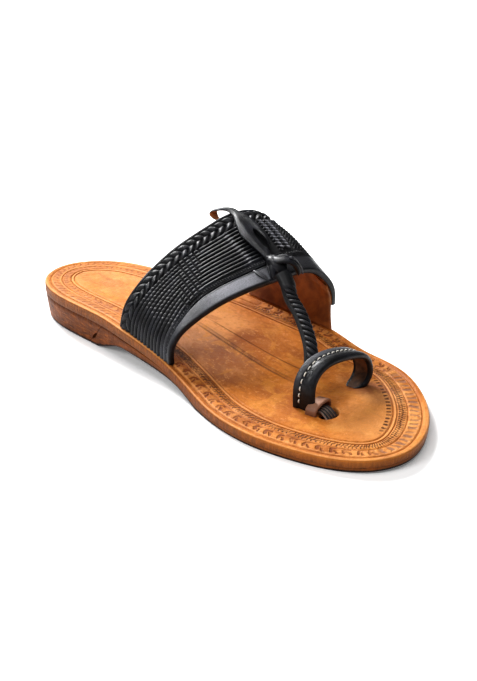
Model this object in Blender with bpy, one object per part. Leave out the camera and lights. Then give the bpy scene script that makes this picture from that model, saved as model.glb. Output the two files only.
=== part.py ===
"""Toe ring sandal, right foot.

A leather sole with a stacked heel carries a woven instep band, a flap at the
inner end of that band, a strap with an eye over its crest, a knot, a braided
cord and a toe ring. Each of them is its own closed solid.

Lengths are in millimetres and the finished meshes are scaled to metres. A
station is a distance from the back of the heel towards the toe, which points
to -Y. +X is the medial side, where the big toe is, and +Z is up. The long axis
is the straight line from the tip of the heel to the tip of the toe.
"""

import math

import bmesh
import bpy
import numpy as np
from mathutils import Vector

METRES_PER_MM = 0.001

# Clearance between two pieces that touch on the real sandal.
SEAM_GAP = 0.3

# Sole
SOLE_LENGTH = 270.0
MEDIAL_REACH = 72.6
LATERAL_REACH = 42.5
HEEL_HEIGHT = 21.0
FOREFOOT_HEIGHT = 6.4
INSOLE_AT_HEEL = 5.7
INSOLE_AT_TOE = 4.0
ARCH_RISE = 7.7
TOE_SPRING = 1.4
EDGE_ROUND = 1.1
HEEL_TAPER = 1.6
HEEL_JOINT_AT_FLOOR = 67.7
HEEL_JOINT_AT_SEAM = 83.0

# Instep band, measured on its lining
BAND_WALL = 2.8
BAND_REAR_STATION = 97.6
BAND_FRONT_STATION = 141.0
BAND_REAR_SKEW = 6.4
BAND_FRONT_SKEW = 16.0
BAND_REAR_RISE = 48.9
BAND_FRONT_RISE = 36.2
BAND_SETBACK = 5.0
BAND_SWELL = 3.6
RIB_COUNT = 10
RIB_RAISE = 0.6
CHAIN_RAISE = 0.7

# Flap at the medial end of the band
EAR_WALL = 2.2
EAR_HEIGHT = 27.0
BAND_END_HEIGHT = 14.0

# Strap with an eye, over the crest of the band
STRAP_WIDTH = 9.0
STRAP_WALL = 2.2
STRAP_SHARE = 0.572
KNOT_SHARE = 0.955
EYE_LENGTH = 15.0
EYE_WIDTH = 3.2
EYE_SHARE = 0.53
TONGUE_OVERHANG = 8.0

# Knot, cord and toe ring
KNOT_LENGTH = 19.0
KNOT_WIDTH = 17.0
KNOT_HEIGHT = 11.0
CORD_WIDTH = 8.0
CORD_THICKNESS = 6.4
CORD_STRAND_RAISE = 0.55
CORD_STRAND_PITCH = 6.2
CORD_FOOT_OFFSET = -11.0
RING_WALL = 2.6
RING_STRAP_WIDTH = 10.5
RING_SPAN = 35.0
RING_HEIGHT = 20.5
RING_STATION = 209.5
RING_AXIS_OFFSET = 13.2
RING_SHEAR = 0.28
RING_TILT = 1.5

# Hole in the insole, with the leather bridge over the ends of the braid
HOLE_STATION = 221.2
HOLE_AXIS_OFFSET = 0.9
HOLE_TURN = 14.0
HOLE_LENGTH = 9.0
HOLE_WIDTH = 13.5
BRIDGE_WALL = 1.8
BRIDGE_RISE = 5.4
BRIDGE_LENGTH = 4.5
BRAID_END_COUNT = 4
BRAID_END_WIDTH = 2.3
BRAID_END_THICKNESS = 1.4
BRAID_END_LENGTH = 8.0
BRIDGE_SETBACK = 1.5

# Mesh density
STATION_STEPS = 42
BAND_ROWS = 36

# Sole outline: share of the length, share of the medial reach, share of the lateral reach
OUTLINE = (
    (0.025, 0.245, 0.456),
    (0.085, 0.430, 0.727),
    (0.180, 0.533, 0.819),
    (0.280, 0.640, 0.802),
    (0.380, 0.785, 0.805),
    (0.480, 0.904, 0.785),
    (0.580, 1.000, 0.860),
    (0.680, 0.962, 0.990),
    (0.780, 0.924, 1.000),
    (0.870, 0.755, 0.856),
    (0.940, 0.508, 0.640),
    (0.985, 0.233, 0.353),
)

# Underside: share of the length, share of the arch rise
UNDERSIDE = (
    (0.278, 0.00),
    (0.300, 0.24),
    (0.328, 0.60),
    (0.350, 0.88),
    (0.372, 1.00),
    (0.395, 0.99),
    (0.425, 0.92),
    (0.470, 0.77),
    (0.515, 0.66),
    (0.555, 0.52),
    (0.590, 0.26),
    (0.622, 0.00),
)

# Top of the heel seat: share of the length where the ramp starts and where it ends
RAMP = (0.287, 0.700)

# Share of the length where the toe starts to lift
SPRING_START_SHARE = 0.90

# Arch of the band at its rear edge: share of the way across, share of the rise
REAR_ARCH = (
    (0.000, 0.000),
    (0.035, 0.213),
    (0.096, 0.351),
    (0.177, 0.483),
    (0.247, 0.573),
    (0.352, 0.690),
    (0.457, 0.781),
    (0.569, 0.860),
    (0.679, 0.932),
    (0.781, 0.985),
    (0.860, 1.000),
    (0.955, 0.988),
    (1.042, 0.925),
    (1.093, 0.785),
    (1.110, 0.575),
    (1.093, 0.333),
    (1.053, 0.143),
    (1.000, 0.000),
)

# The same arch at the front edge
FRONT_ARCH = (
    (0.000, 0.000),
    (0.000, 0.199),
    (0.027, 0.350),
    (0.081, 0.480),
    (0.163, 0.610),
    (0.275, 0.741),
    (0.408, 0.843),
    (0.540, 0.913),
    (0.666, 0.969),
    (0.764, 1.000),
    (0.837, 0.970),
    (0.900, 0.862),
    (0.949, 0.722),
    (0.977, 0.568),
    (0.987, 0.293),
    (1.000, 0.000),
)

# Swell of the band over the joint of the big toe: share of the arch, share of the swell
SWELL = (
    (0.00, 0.00),
    (0.45, 0.05),
    (0.60, 0.45),
    (0.72, 1.00),
    (0.84, 0.75),
    (0.94, 0.10),
    (1.00, 0.00),
)

# Strips of the band from rear to front, as shares of its width
CHAIN_START_SHARE = 0.06
CHAIN_END_SHARE = 0.22
RIBS_END_SHARE = 0.89

# Tongue of the strap: share of the overhang behind the band, lift in walls of the strap,
# sideways shift in widths of the strap towards the lateral side
TONGUE = (
    (0.25, -0.02, 0.05),
    (0.55, -0.30, 0.14),
    (0.84, -0.95, 0.26),
    (0.92, -1.75, 0.36),
    (0.76, -2.40, 0.42),
    (0.50, -2.60, 0.44),
)

# Toe ring on its inner side: share of the span from the lateral foot, share of the height
RING_ARCH = (
    (0.000, 0.000),
    (-0.005, 0.360),
    (0.030, 0.650),
    (0.140, 0.860),
    (0.240, 0.950),
    (0.470, 1.000),
    (0.850, 0.915),
    (1.050, 0.780),
    (1.166, 0.505),
    (1.180, 0.285),
    (1.090, 0.080),
    (0.960, 0.000),
)

# Cord from the knot to the insole behind the ring: share of the way along, across and down
CORD_ROUTE = (
    (0.000, 0.000, 0.000),
    (0.123, 0.112, 0.130),
    (0.318, 0.257, 0.217),
    (0.533, 0.430, 0.330),
    (0.738, 0.609, 0.450),
    (0.881, 0.771, 0.548),
    (0.969, 0.894, 0.677),
    (0.998, 0.966, 0.814),
    (1.000, 1.000, 1.000),
)


def material(name, colour, roughness):
    """A plain Principled material."""
    made = bpy.data.materials.new(name)
    made.use_nodes = True
    shader = made.node_tree.nodes["Principled BSDF"]
    shader.inputs["Base Color"].default_value = (*colour, 1.0)
    shader.inputs["Roughness"].default_value = roughness
    shader.inputs["Metallic"].default_value = 0.0
    return made


def clear_scene():
    """Start from an empty scene."""
    for thing in list(bpy.data.objects):
        bpy.data.objects.remove(thing)


def spline_at(knots, values, at, periodic=False):
    """Cubic spline through rows of values, read at new parameters."""
    knots = np.asarray(knots, dtype=float)
    values = np.asarray(values, dtype=float)
    spans = np.diff(knots)
    count = len(knots)
    system = np.zeros((count, count))
    right = np.zeros((count, values.shape[1]))
    rise = np.diff(values, axis=0) / spans[:, None]
    for row in range(1, count - 1):
        system[row, row - 1] = spans[row]
        system[row, row] = 2.0 * (spans[row - 1] + spans[row])
        system[row, row + 1] = spans[row - 1]
        right[row] = 3.0 * (spans[row] * rise[row - 1] + spans[row - 1] * rise[row])
    if periodic:
        system[0, 0] = 2.0 * (spans[-1] + spans[0])
        system[0, 1] = spans[-1]
        system[0, count - 2] = spans[0]
        right[0] = 3.0 * (spans[0] * rise[-1] + spans[-1] * rise[0])
        system[-1, 0] = 1.0
        system[-1, -1] = -1.0
    else:
        system[0, 0:2] = (2.0, 1.0)
        right[0] = 3.0 * rise[0]
        system[-1, -2:] = (1.0, 2.0)
        right[-1] = 3.0 * rise[-1]
    slopes = np.linalg.solve(system, right)
    at = np.asarray(at, dtype=float)
    piece = np.clip(np.searchsorted(knots, at, side="right") - 1, 0, count - 2)
    span = spans[piece][:, None]
    t = ((at - knots[piece]) / spans[piece])[:, None]
    return (
        values[piece] * (1.0 + 2.0 * t) * (1.0 - t) ** 2
        + values[piece + 1] * t * t * (3.0 - 2.0 * t)
        + slopes[piece] * span * t * (1.0 - t) ** 2
        - slopes[piece + 1] * span * t * t * (1.0 - t)
    )


def smooth_path(points, count, periodic=False):
    """Points at equal distances along a smooth curve through the given ones."""
    points = np.asarray(points, dtype=float)
    if periodic:
        points = np.vstack([points, points[:1]])
    chords = np.linalg.norm(np.diff(points, axis=0), axis=1)
    knots = np.concatenate([[0.0], np.cumsum(chords)])
    fine = spline_at(knots, points, np.linspace(0.0, knots[-1], 40 * count), periodic)
    steps = np.linalg.norm(np.diff(fine, axis=0), axis=1)
    run = np.concatenate([[0.0], np.cumsum(steps)])
    wanted = np.linspace(0.0, run[-1], count)
    return np.column_stack([np.interp(wanted, run, axis) for axis in fine.T])


def ease(value):
    """Smooth step from 0 to 1."""
    value = np.clip(value, 0.0, 1.0)
    return value * value * (3.0 - 2.0 * value)


def dense_outline():
    """Sole edge as a closed curve of (distance from the axis, station)."""
    points = [(0.0, 0.0)]
    points += [(MEDIAL_REACH * medial, SOLE_LENGTH * share) for share, medial, _ in OUTLINE]
    points += [(0.0, SOLE_LENGTH)]
    points += [(-LATERAL_REACH * side, SOLE_LENGTH * share) for share, _, side in reversed(OUTLINE)]
    curve = smooth_path(points, 1200, periodic=True)
    low = curve[:, 1].min()
    high = curve[:, 1].max()
    curve[:, 1] = (curve[:, 1] - low) * SOLE_LENGTH / (high - low)
    return curve


SOLE_CURVE = dense_outline()


def sole_edge(side, station):
    """Distance of the sole's edge from the long axis, side +1 medial or -1 lateral."""
    first = int(np.argmin(SOLE_CURVE[:, 1]))
    turned = np.roll(SOLE_CURVE[:-1], -first, axis=0)
    tip = int(np.argmax(turned[:, 1]))
    if side > 0:
        half = turned[: tip + 1]
    else:
        half = np.vstack([turned[tip:], turned[:1]])[::-1]
    return np.interp(station, half[:, 1], half[:, 0])


def top_height(station):
    """Height of the insole's top."""
    start, end = RAMP
    way = (station / SOLE_LENGTH - start) / (end - start)
    seat = FOREFOOT_HEIGHT + (HEEL_HEIGHT - FOREFOOT_HEIGHT) * (1.0 - ease(way))
    return seat + toe_lift(station)


def toe_lift(station):
    """How far the toe is bent up."""
    way = (station / SOLE_LENGTH - SPRING_START_SHARE) / (1.0 - SPRING_START_SHARE)
    return TOE_SPRING * np.clip(way, 0.0, 1.0) ** 2


def seam_height(station):
    """Height of the insole's underside."""
    start, end = RAMP
    way = ease((station / SOLE_LENGTH - start) / (end - start))
    thickness = INSOLE_AT_HEEL + (INSOLE_AT_TOE - INSOLE_AT_HEEL) * way
    return top_height(station) - thickness


def floor_height(station):
    """Height of the underside, on the floor at heel and forefoot."""
    share = station / SOLE_LENGTH
    shares = [row[0] for row in UNDERSIDE]
    rises = [row[1] for row in UNDERSIDE]
    return ARCH_RISE * np.interp(share, shares, rises, left=0.0, right=0.0) + toe_lift(station)


def place(across, station, height):
    """A point in metres from distance to the long axis, station and height, in millimetres."""
    return Vector((across, SOLE_LENGTH / 2.0 - station, height)) * METRES_PER_MM


def outline_ring(inset):
    """Closed ring of (across, station): heel tip, medial side, toe tip, lateral side."""
    turn = np.pi * np.arange(STATION_STEPS + 1) / STATION_STEPS
    stations = SOLE_LENGTH / 2.0 * (1.0 - np.cos(turn))
    ring = [(sole_edge(1, stations[0]), stations[0])]
    ring += [(sole_edge(1, station), station) for station in stations[1:-1]]
    ring += [(sole_edge(1, stations[-1]), stations[-1])]
    ring += [(sole_edge(-1, station), station) for station in stations[-2:0:-1]]
    ring = np.array(ring)
    along = np.roll(ring, -1, axis=0) - np.roll(ring, 1, axis=0)
    along /= np.linalg.norm(along, axis=1)[:, None]
    inward = np.column_stack([-along[:, 1], along[:, 0]])
    amount = inset(ring[:, 1]) if callable(inset) else inset
    return ring + inward * np.reshape(amount, (-1, 1))


def new_object(name, mesh_builder, finish):
    """Turn a bmesh into a smooth-shaded object with its material."""
    bmesh.ops.remove_doubles(mesh_builder, verts=mesh_builder.verts, dist=0.00001)
    bmesh.ops.dissolve_degenerate(mesh_builder, edges=mesh_builder.edges, dist=0.000002)
    bmesh.ops.recalc_face_normals(mesh_builder, faces=mesh_builder.faces)
    mesh = bpy.data.meshes.new(name)
    mesh_builder.to_mesh(mesh)
    mesh_builder.free()
    mesh.materials.append(finish)
    mesh.shade_smooth()
    mesh.set_sharp_from_angle(angle=math.radians(40.0))
    thing = bpy.data.objects.new(name, mesh)
    bpy.context.collection.objects.link(thing)
    return thing


def sole_layer(courses, columns):
    """Bmesh of one layer of the sole. A course is (inset, height function), top first."""
    builder = bmesh.new()
    rings = []
    for inset, height in courses:
        ring = outline_ring(inset)
        rings.append([builder.verts.new(place(x, s, height(s))) for x, s in ring])
    count = len(rings[0])
    for upper, lower in zip(rings, rings[1:]):
        for spot in range(count):
            following = (spot + 1) % count
            builder.faces.new((upper[spot], upper[following], lower[following], lower[spot]))
    for ring, (inset, height) in ((rings[0], courses[0]), (rings[-1], courses[-1])):
        cap_layer(builder, ring, outline_ring(inset), height, columns)
    return builder


def cap_layer(builder, ring, outline, height, columns):
    """Close a layer with rows of faces from the lateral to the medial edge."""
    rows = [[ring[0]] * (columns + 1)]
    for step in range(1, STATION_STEPS):
        medial = ring[step]
        lateral = ring[-step]
        row = [lateral]
        for column in range(1, columns):
            share = column / columns
            across, station = outline[-step] + (outline[step] - outline[-step]) * share
            row.append(builder.verts.new(place(across, station, height(station))))
        rows.append(row + [medial])
    rows.append([ring[STATION_STEPS]] * (columns + 1))
    for behind, ahead in zip(rows, rows[1:]):
        for column in range(columns):
            corners = []
            for corner in (behind[column], behind[column + 1], ahead[column + 1], ahead[column]):
                if corner not in corners:
                    corners.append(corner)
            builder.faces.new(corners)


def keep_one_side(builder, point, normal):
    """Cut a closed bmesh by a plane, keep the side away from the normal and close it."""
    everything = builder.verts[:] + builder.edges[:] + builder.faces[:]
    cut = bmesh.ops.bisect_plane(
        builder, geom=everything, plane_co=point, plane_no=normal, clear_outer=True
    )
    rim = [item for item in cut["geom_cut"] if isinstance(item, bmesh.types.BMEdge)]
    bmesh.ops.holes_fill(builder, edges=rim, sides=0)


def thin_solid(outer, inner):
    """Bmesh between two grids of points, which have the same rows and columns."""
    builder = bmesh.new()
    rows, columns = outer.shape[:2]
    skins = []
    for grid in (outer, inner):
        skins.append([[builder.verts.new(place(*grid[i, j])) for j in range(columns)] for i in range(rows)])
    for skin in skins:
        for i in range(rows - 1):
            for j in range(columns - 1):
                builder.faces.new((skin[i][j], skin[i][j + 1], skin[i + 1][j + 1], skin[i + 1][j]))
    rim = [(0, j) for j in range(columns)]
    rim += [(i, columns - 1) for i in range(1, rows)]
    rim += [(rows - 1, j) for j in range(columns - 2, -1, -1)]
    rim += [(i, 0) for i in range(rows - 2, 0, -1)]
    for (i, j), (k, m) in zip(rim, rim[1:] + rim[:1]):
        builder.faces.new((skins[0][i][j], skins[0][k][m], skins[1][k][m], skins[1][i][j]))
    return builder


def tube(centres, sections):
    """Bmesh of a closed tube: each section is a ring of points round its centre."""
    builder = bmesh.new()
    rings = [[builder.verts.new(place(*point)) for point in section] for section in sections]
    count = len(rings[0])
    for here, there in zip(rings, rings[1:]):
        for spot in range(count):
            following = (spot + 1) % count
            builder.faces.new((here[spot], here[following], there[following], there[spot]))
    for ring, centre in ((rings[0], centres[0]), (rings[-1], centres[-1])):
        middle = builder.verts.new(place(*centre))
        for spot in range(count):
            builder.faces.new((ring[spot], ring[(spot + 1) % count], middle))
    return builder


def grid_normals(grid):
    """Unit normals of a grid of points."""
    down = np.gradient(grid, axis=0)
    over = np.gradient(grid, axis=1)
    normal = np.cross(down, over)
    return normal / np.linalg.norm(normal, axis=2)[:, :, None]


def arch_points(rows, lateral, medial, rise, count):
    """An edge of the band: points from its lateral foot over the crest to its medial foot."""
    lateral = np.array(lateral)
    medial = np.array(medial)
    points = [lateral + (medial - lateral) * share + np.array((0.0, 0.0, rise * up)) for share, up in rows]
    return smooth_path(points, count)


def seat(across, station):
    """A point on the insole, with the seam gap under it."""
    return (across, station, float(top_height(station)) + SEAM_GAP)


def band_edge(front):
    """Lining side of the band's rear or front edge."""
    station = BAND_FRONT_STATION if front else BAND_REAR_STATION
    skew = BAND_FRONT_SKEW if front else BAND_REAR_SKEW
    rise = BAND_FRONT_RISE if front else BAND_REAR_RISE
    rows = FRONT_ARCH if front else REAR_ARCH
    lateral = seat(sole_edge(-1, station) + BAND_SETBACK, station)
    medial = seat(sole_edge(1, station + skew) + SEAM_GAP, station + skew)
    return arch_points(rows, lateral, medial, rise, BAND_ROWS + 1)


REAR_EDGE = band_edge(front=False)
FRONT_EDGE = band_edge(front=True)


def foot_drop(row, forward):
    """How far the insole lies over the straight line between the edges' feet."""
    foot = REAR_EDGE[row] + (FRONT_EDGE[row] - REAR_EDGE[row]) * forward
    return float(top_height(foot[1])) + SEAM_GAP - foot[2]


def band_point(around, forward):
    """Lining point: share of the arch from the lateral foot, share of the width from the rear."""
    rows = np.linspace(0.0, 1.0, BAND_ROWS + 1)
    rear = np.array([np.interp(around, rows, axis) for axis in REAR_EDGE.T])
    front = np.array([np.interp(around, rows, axis) for axis in FRONT_EDGE.T])
    point = rear + (front - rear) * forward
    point[2] += foot_drop(0, forward) * (1.0 - around) + foot_drop(-1, forward) * around
    arch_shares, swells = zip(*SWELL)
    swell = BAND_SWELL * np.interp(around, arch_shares, swells) * math.sin(math.pi * np.clip(forward, 0.0, 1.0))
    return point + np.array((0.5, 0.0, 0.87)) * swell


def band_frame(around, forward):
    """Lining point of the band with its outward normal, its forward and its medial direction."""
    step = 0.5 / BAND_ROWS
    point = band_point(around, forward)
    ahead = band_point(around, forward + step) - point
    inner = band_point(around + step, forward) - band_point(around - step, forward)
    ahead /= np.linalg.norm(ahead)
    normal = np.cross(inner, ahead)
    normal /= np.linalg.norm(normal)
    if normal[2] < 0.0:
        normal = -normal
    return point, normal, ahead, np.cross(ahead, normal)


def band_columns():
    """Shares of the band's width where its surface bends, each with its kind of strip."""
    columns = [(0.0, "margin"), (CHAIN_START_SHARE - 0.015, "margin")]
    for step in range(5):
        columns.append((CHAIN_START_SHARE + (CHAIN_END_SHARE - CHAIN_START_SHARE) * step / 4.0, f"chain{step}"))
    pitch = (RIBS_END_SHARE - CHAIN_END_SHARE) / RIB_COUNT
    for rib in range(RIB_COUNT):
        columns.append((CHAIN_END_SHARE + pitch * (rib + 0.5), "rib"))
        columns.append((CHAIN_END_SHARE + pitch * (rib + 1.0), "groove"))
    columns += [(RIBS_END_SHARE + 0.02, "margin"), (1.0, "margin")]
    return columns


def band_relief(kind, row):
    """Height of a strip over the wall. The chain's strips lean one way, then the other."""
    if kind == "rib":
        return RIB_RAISE
    if kind == "margin":
        return 0.5 * RIB_RAISE
    if kind.startswith("chain"):
        step = int(kind[-1])
        if step in (1, 3):
            return CHAIN_RAISE * (0.35 + 0.65 * ((row + step // 2) % 2))
        return 0.15 * CHAIN_RAISE
    return 0.0


def skin_pair(lining, inner_offset, outer_offset, level_first, level_last):
    """Inner and outer skins of a wall. A level end is cut flat, so its foot stands square."""
    normal = grid_normals(lining)
    crest = lining.shape[0] // 2
    if normal[crest, 0, 2] < 0.0:
        normal = -normal
    for row, level in ((0, level_first), (-1, level_last)):
        if level:
            normal[row, :, 2] = 0.0
            normal[row] /= np.linalg.norm(normal[row], axis=1)[:, None]
    return lining + normal * outer_offset, lining + normal * inner_offset


def share_at_height(edge, height):
    """Share of the arch, from its lateral foot, where the medial side has this height over its foot."""
    rows = np.linspace(0.0, 1.0, len(edge))
    half = len(edge) // 2
    over = edge[half:, 2] - edge[-1, 2]
    return float(np.interp(height, over[::-1], rows[half:][::-1]))


def build_band(finish):
    """The woven band: one wall whose strips stand proud, open at both edges and underneath."""
    columns = band_columns()
    rear_end = share_at_height(REAR_EDGE, BAND_END_HEIGHT)
    front_end = share_at_height(FRONT_EDGE, BAND_END_HEIGHT)
    lining = np.empty((BAND_ROWS + 1, len(columns), 3))
    relief = np.empty((BAND_ROWS + 1, len(columns), 1))
    for column, (forward, kind) in enumerate(columns):
        end = rear_end + (front_end - rear_end) * forward
        for row in range(BAND_ROWS + 1):
            lining[row, column] = band_point(end * row / BAND_ROWS, forward)
            relief[row, column] = band_relief(kind, row)
    outer, inner = skin_pair(lining, 0.0, BAND_WALL + relief, True, False)
    return new_object("band", thin_solid(outer, inner), finish)


def build_ear(finish):
    """The flap: it stands on the sole's medial edge and backs the end of the band."""
    rows = 9
    columns = 7
    rear_top = share_at_height(REAR_EDGE, EAR_HEIGHT)
    front_top = share_at_height(FRONT_EDGE, EAR_HEIGHT)
    lining = np.empty((rows, columns, 3))
    for column in range(columns):
        forward = column / (columns - 1)
        top = rear_top + (front_top - rear_top) * forward
        for row in range(rows):
            lining[row, column] = band_point(top + (1.0 - top) * row / (rows - 1), forward)
    normal = grid_normals(lining)
    if normal[rows // 2, 0, 0] < 0.0:
        normal = -normal
    normal[-1, :, 2] = 0.0
    normal[-1] /= np.linalg.norm(normal[-1], axis=1)[:, None]
    outer = lining - normal * SEAM_GAP
    inner = lining - normal * (SEAM_GAP + EAR_WALL)
    return new_object("medial_ear", thin_solid(outer, inner), finish)


def strap_route():
    """Middle of the strap's underside, from the knot over the band to the curled tongue."""
    clear = BAND_WALL + max(RIB_RAISE, CHAIN_RAISE) + 2.0 * SEAM_GAP
    width = np.linalg.norm(band_point(STRAP_SHARE, 1.0) - band_point(STRAP_SHARE, 0.0))
    front = KNOT_SHARE - (KNOT_LENGTH / 2.0 + SEAM_GAP) / width
    points = []
    normals = []
    sides = []
    for forward in np.linspace(front, 0.04, 9):
        point, normal, _, side = band_frame(STRAP_SHARE, forward)
        points.append(point + normal * clear)
        normals.append(normal)
        sides.append(side)
    edge, normal, ahead, side = band_frame(STRAP_SHARE, 0.0)
    for back, lift, sideways in TONGUE:
        point = edge - ahead * TONGUE_OVERHANG * back + normal * (clear + STRAP_WALL * lift)
        points.append(point - side * STRAP_WIDTH * sideways)
        normals.append(normal)
        sides.append(side)
    return np.array(points), sides


def build_strap(finish):
    """The strap over the crest, with its eye cut through and its end curled into a tongue."""
    route, sides = strap_route()
    count = 24
    path = smooth_path(route, count)
    along = np.gradient(path, axis=0)
    along /= np.linalg.norm(along, axis=1)[:, None]
    side = sides[0]
    columns = (-0.5, -0.25, 0.0, 0.25, 0.5)
    lower = np.empty((count, len(columns), 3))
    upper = np.empty_like(lower)
    for row in range(count):
        normal = np.cross(along[row], side)
        normal /= np.linalg.norm(normal)
        if row < count // 2 and normal[2] < 0.0:
            side = -side
            normal = -normal
        way = row / (count - 1)
        width = STRAP_WIDTH * (1.0 - 0.30 * ease((way - 0.55) / 0.45))
        for column, share in enumerate(columns):
            crown = 0.35 * STRAP_WALL * (1.0 - (2.0 * share) ** 2)
            lower[row, column] = path[row] + side * width * share
            upper[row, column] = lower[row, column] + normal * (0.75 * STRAP_WALL + crown)
    strap = new_object("eye_strap", thin_solid(upper, lower), finish)
    point, normal, ahead, across = band_frame(STRAP_SHARE, EYE_SHARE)
    cut_eye(strap, point + normal * (BAND_WALL + STRAP_WALL), normal, ahead, across)
    return strap


def cut_eye(strap, centre, normal, ahead, across):
    """Cut the almond-shaped eye through the strap."""
    builder = bmesh.new()
    outline = []
    steps = 8
    for index in range(2 * steps):
        turn = index / steps
        along = math.cos(math.pi * turn)
        swell = math.sin(math.pi * turn)
        outline.append(centre + ahead * EYE_LENGTH / 2.0 * along + across * EYE_WIDTH / 2.0 * swell)
    reach = 3.0 * STRAP_WALL
    rings = []
    for lift in (-reach, reach):
        rings.append([builder.verts.new(place(*(point + normal * lift))) for point in outline])
    count = len(outline)
    for spot in range(count):
        following = (spot + 1) % count
        builder.faces.new((rings[0][spot], rings[0][following], rings[1][following], rings[1][spot]))
    builder.faces.new(rings[0])
    builder.faces.new(rings[1])
    cutter = new_object("eye_cutter", builder, strap.data.materials[0])
    use_cutter(strap, cutter)


def use_cutter(target, cutter, operation="DIFFERENCE"):
    """Apply a Boolean with a helper object and remove the helper."""
    step = target.modifiers.new("cut", "BOOLEAN")
    step.object = cutter
    step.operation = operation
    step.solver = "EXACT"
    graph = bpy.context.evaluated_depsgraph_get()
    result = bpy.data.meshes.new_from_object(target.evaluated_get(graph))
    target.modifiers.clear()
    target.data = result
    bpy.data.objects.remove(cutter)


def blob(centre, axes, sizes, power, rings=10, sides=14):
    """Rounded lump along its own axes. A power over 1 sharpens its two ends."""
    centres = []
    sections = []
    long, wide, high = axes
    for ring in range(rings + 1):
        turn = math.pi * (0.04 + 0.92 * ring / rings)
        middle = centre + long * sizes[0] / 2.0 * -math.cos(turn)
        swell = math.sin(turn) ** power
        centres.append(middle)
        section = []
        for spot in range(sides):
            angle = 2.0 * math.pi * spot / sides
            out = wide * sizes[1] / 2.0 * math.cos(angle) + high * sizes[2] / 2.0 * math.sin(angle)
            section.append(middle + out * swell)
        sections.append(section)
    return tube(centres, sections)


def knot_frame():
    """Middle of the knot with its forward, medial and outward directions."""
    point, normal, ahead, across = band_frame(STRAP_SHARE, KNOT_SHARE)
    lift = BAND_WALL + RIB_RAISE + SEAM_GAP + KNOT_HEIGHT / 2.0
    return point + normal * lift, ahead, across, normal


def build_knot(finish):
    """The knot at the band's front edge: a wrapped lump with two pointed ends."""
    middle, ahead, across, normal = knot_frame()
    knot = new_object(
        "knot",
        blob(middle, (ahead, across, normal), (KNOT_LENGTH, KNOT_WIDTH, KNOT_HEIGHT), 0.8),
        finish,
    )
    wrap = blob(
        middle + normal * 0.22 * KNOT_HEIGHT,
        (across, ahead, normal),
        (1.25 * KNOT_WIDTH, 0.36 * KNOT_LENGTH, 0.75 * KNOT_HEIGHT),
        0.7,
    )
    use_cutter(knot, new_object("knot_wrap", wrap, finish), "UNION")
    for turn, reach in ((0.60, 1.05), (0.05, 0.95)):
        out = ahead * math.sin(turn) - across * math.cos(turn)
        leaf = blob(
            middle - across * 0.42 * KNOT_WIDTH + ahead * (turn - 0.3) * 0.35 * KNOT_LENGTH
            - normal * 0.18 * KNOT_HEIGHT,
            (out, np.cross(normal, out), normal),
            (reach * KNOT_LENGTH, 0.42 * KNOT_WIDTH, 0.4 * KNOT_HEIGHT),
            1.4,
        )
        use_cutter(knot, new_object("knot_leaf", leaf, finish), "UNION")
    return knot


def cord_points():
    """The cord's route, from the tip of the knot to the insole behind the toe ring."""
    middle, ahead, _, normal = knot_frame()
    start = middle + ahead * (KNOT_LENGTH / 2.0 + 0.25 * CORD_THICKNESS) - normal * 0.12 * KNOT_HEIGHT
    station = RING_STATION - RING_STRAP_WIDTH / 2.0 - SEAM_GAP - 0.2 * CORD_THICKNESS
    end = np.array(seat(RING_AXIS_OFFSET + CORD_FOOT_OFFSET, station))
    end[2] += SEAM_GAP
    way = end - start
    return [start + way * np.array((across, along, down)) for along, across, down in CORD_ROUTE]


def build_cord(finish):
    """The braided cord: a flat oval tube whose strands rise in slanted steps."""
    ring_count = 57
    sides = 12
    path = smooth_path(cord_points(), ring_count)
    along = np.gradient(path, axis=0)
    along /= np.linalg.norm(along, axis=1)[:, None]
    run = np.concatenate([[0.0], np.cumsum(np.linalg.norm(np.diff(path, axis=0), axis=1))])
    flat = np.array((1.0, 0.35, 0.0))
    sections = []
    for row in range(ring_count):
        wide = flat - along[row] * np.dot(flat, along[row])
        wide /= np.linalg.norm(wide)
        high = np.cross(along[row], wide)
        section = []
        for spot in range(sides):
            angle = 2.0 * math.pi * spot / sides
            phase = run[row] / CORD_STRAND_PITCH + abs(math.cos(angle)) * 0.5
            raised = CORD_STRAND_RAISE * (0.5 - 0.5 * math.cos(2.0 * math.pi * phase))
            half_width = CORD_WIDTH / 2.0 - CORD_STRAND_RAISE + raised
            half_height = CORD_THICKNESS / 2.0 - CORD_STRAND_RAISE + raised
            section.append(
                path[row] + wide * half_width * math.cos(angle) + high * half_height * math.sin(angle)
            )
        sections.append(section)
    return new_object("toe_cord", tube(path, sections), finish)


def build_ring(finish):
    """The toe ring: a strap bent to an arch that stands on the insole."""
    count = 30
    columns = (-0.5, 0.0, 0.5)
    base = np.array(seat(RING_AXIS_OFFSET - RING_SPAN / 2.0, RING_STATION))
    points = [base + np.array((RING_SPAN * share, 0.0, RING_HEIGHT * up)) for share, up in RING_ARCH]
    path = smooth_path(points, count)
    lining = np.empty((count, len(columns), 3))
    for row in range(count):
        way = row / (count - 1)
        width = RING_STRAP_WIDTH * (1.0 - 0.16 * (2.0 * way - 1.0) ** 2)
        for column, share in enumerate(columns):
            drop = RING_TILT * share * math.sin(math.pi * way)
            lining[row, column] = path[row] + np.array((RING_SHEAR * width * share, width * share, -drop))
    outer, inner = skin_pair(lining, 0.0, RING_WALL, True, False)
    keep_over_insole(outer)
    keep_over_insole(inner)
    return new_object("toe_ring", thin_solid(outer, inner), finish)


def keep_over_insole(grid):
    """Lift the points of a grid that would lie in the insole."""
    for point in grid.reshape(-1, 3):
        point[2] = max(point[2], float(top_height(point[1])) + SEAM_GAP)


def hole_place(across, forward):
    """Distance from the long axis and station of a place in the turned frame of the hole."""
    turn = math.radians(HOLE_TURN)
    return (
        HOLE_AXIS_OFFSET + across * math.cos(turn) + forward * math.sin(turn),
        HOLE_STATION - across * math.sin(turn) + forward * math.cos(turn),
    )


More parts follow.
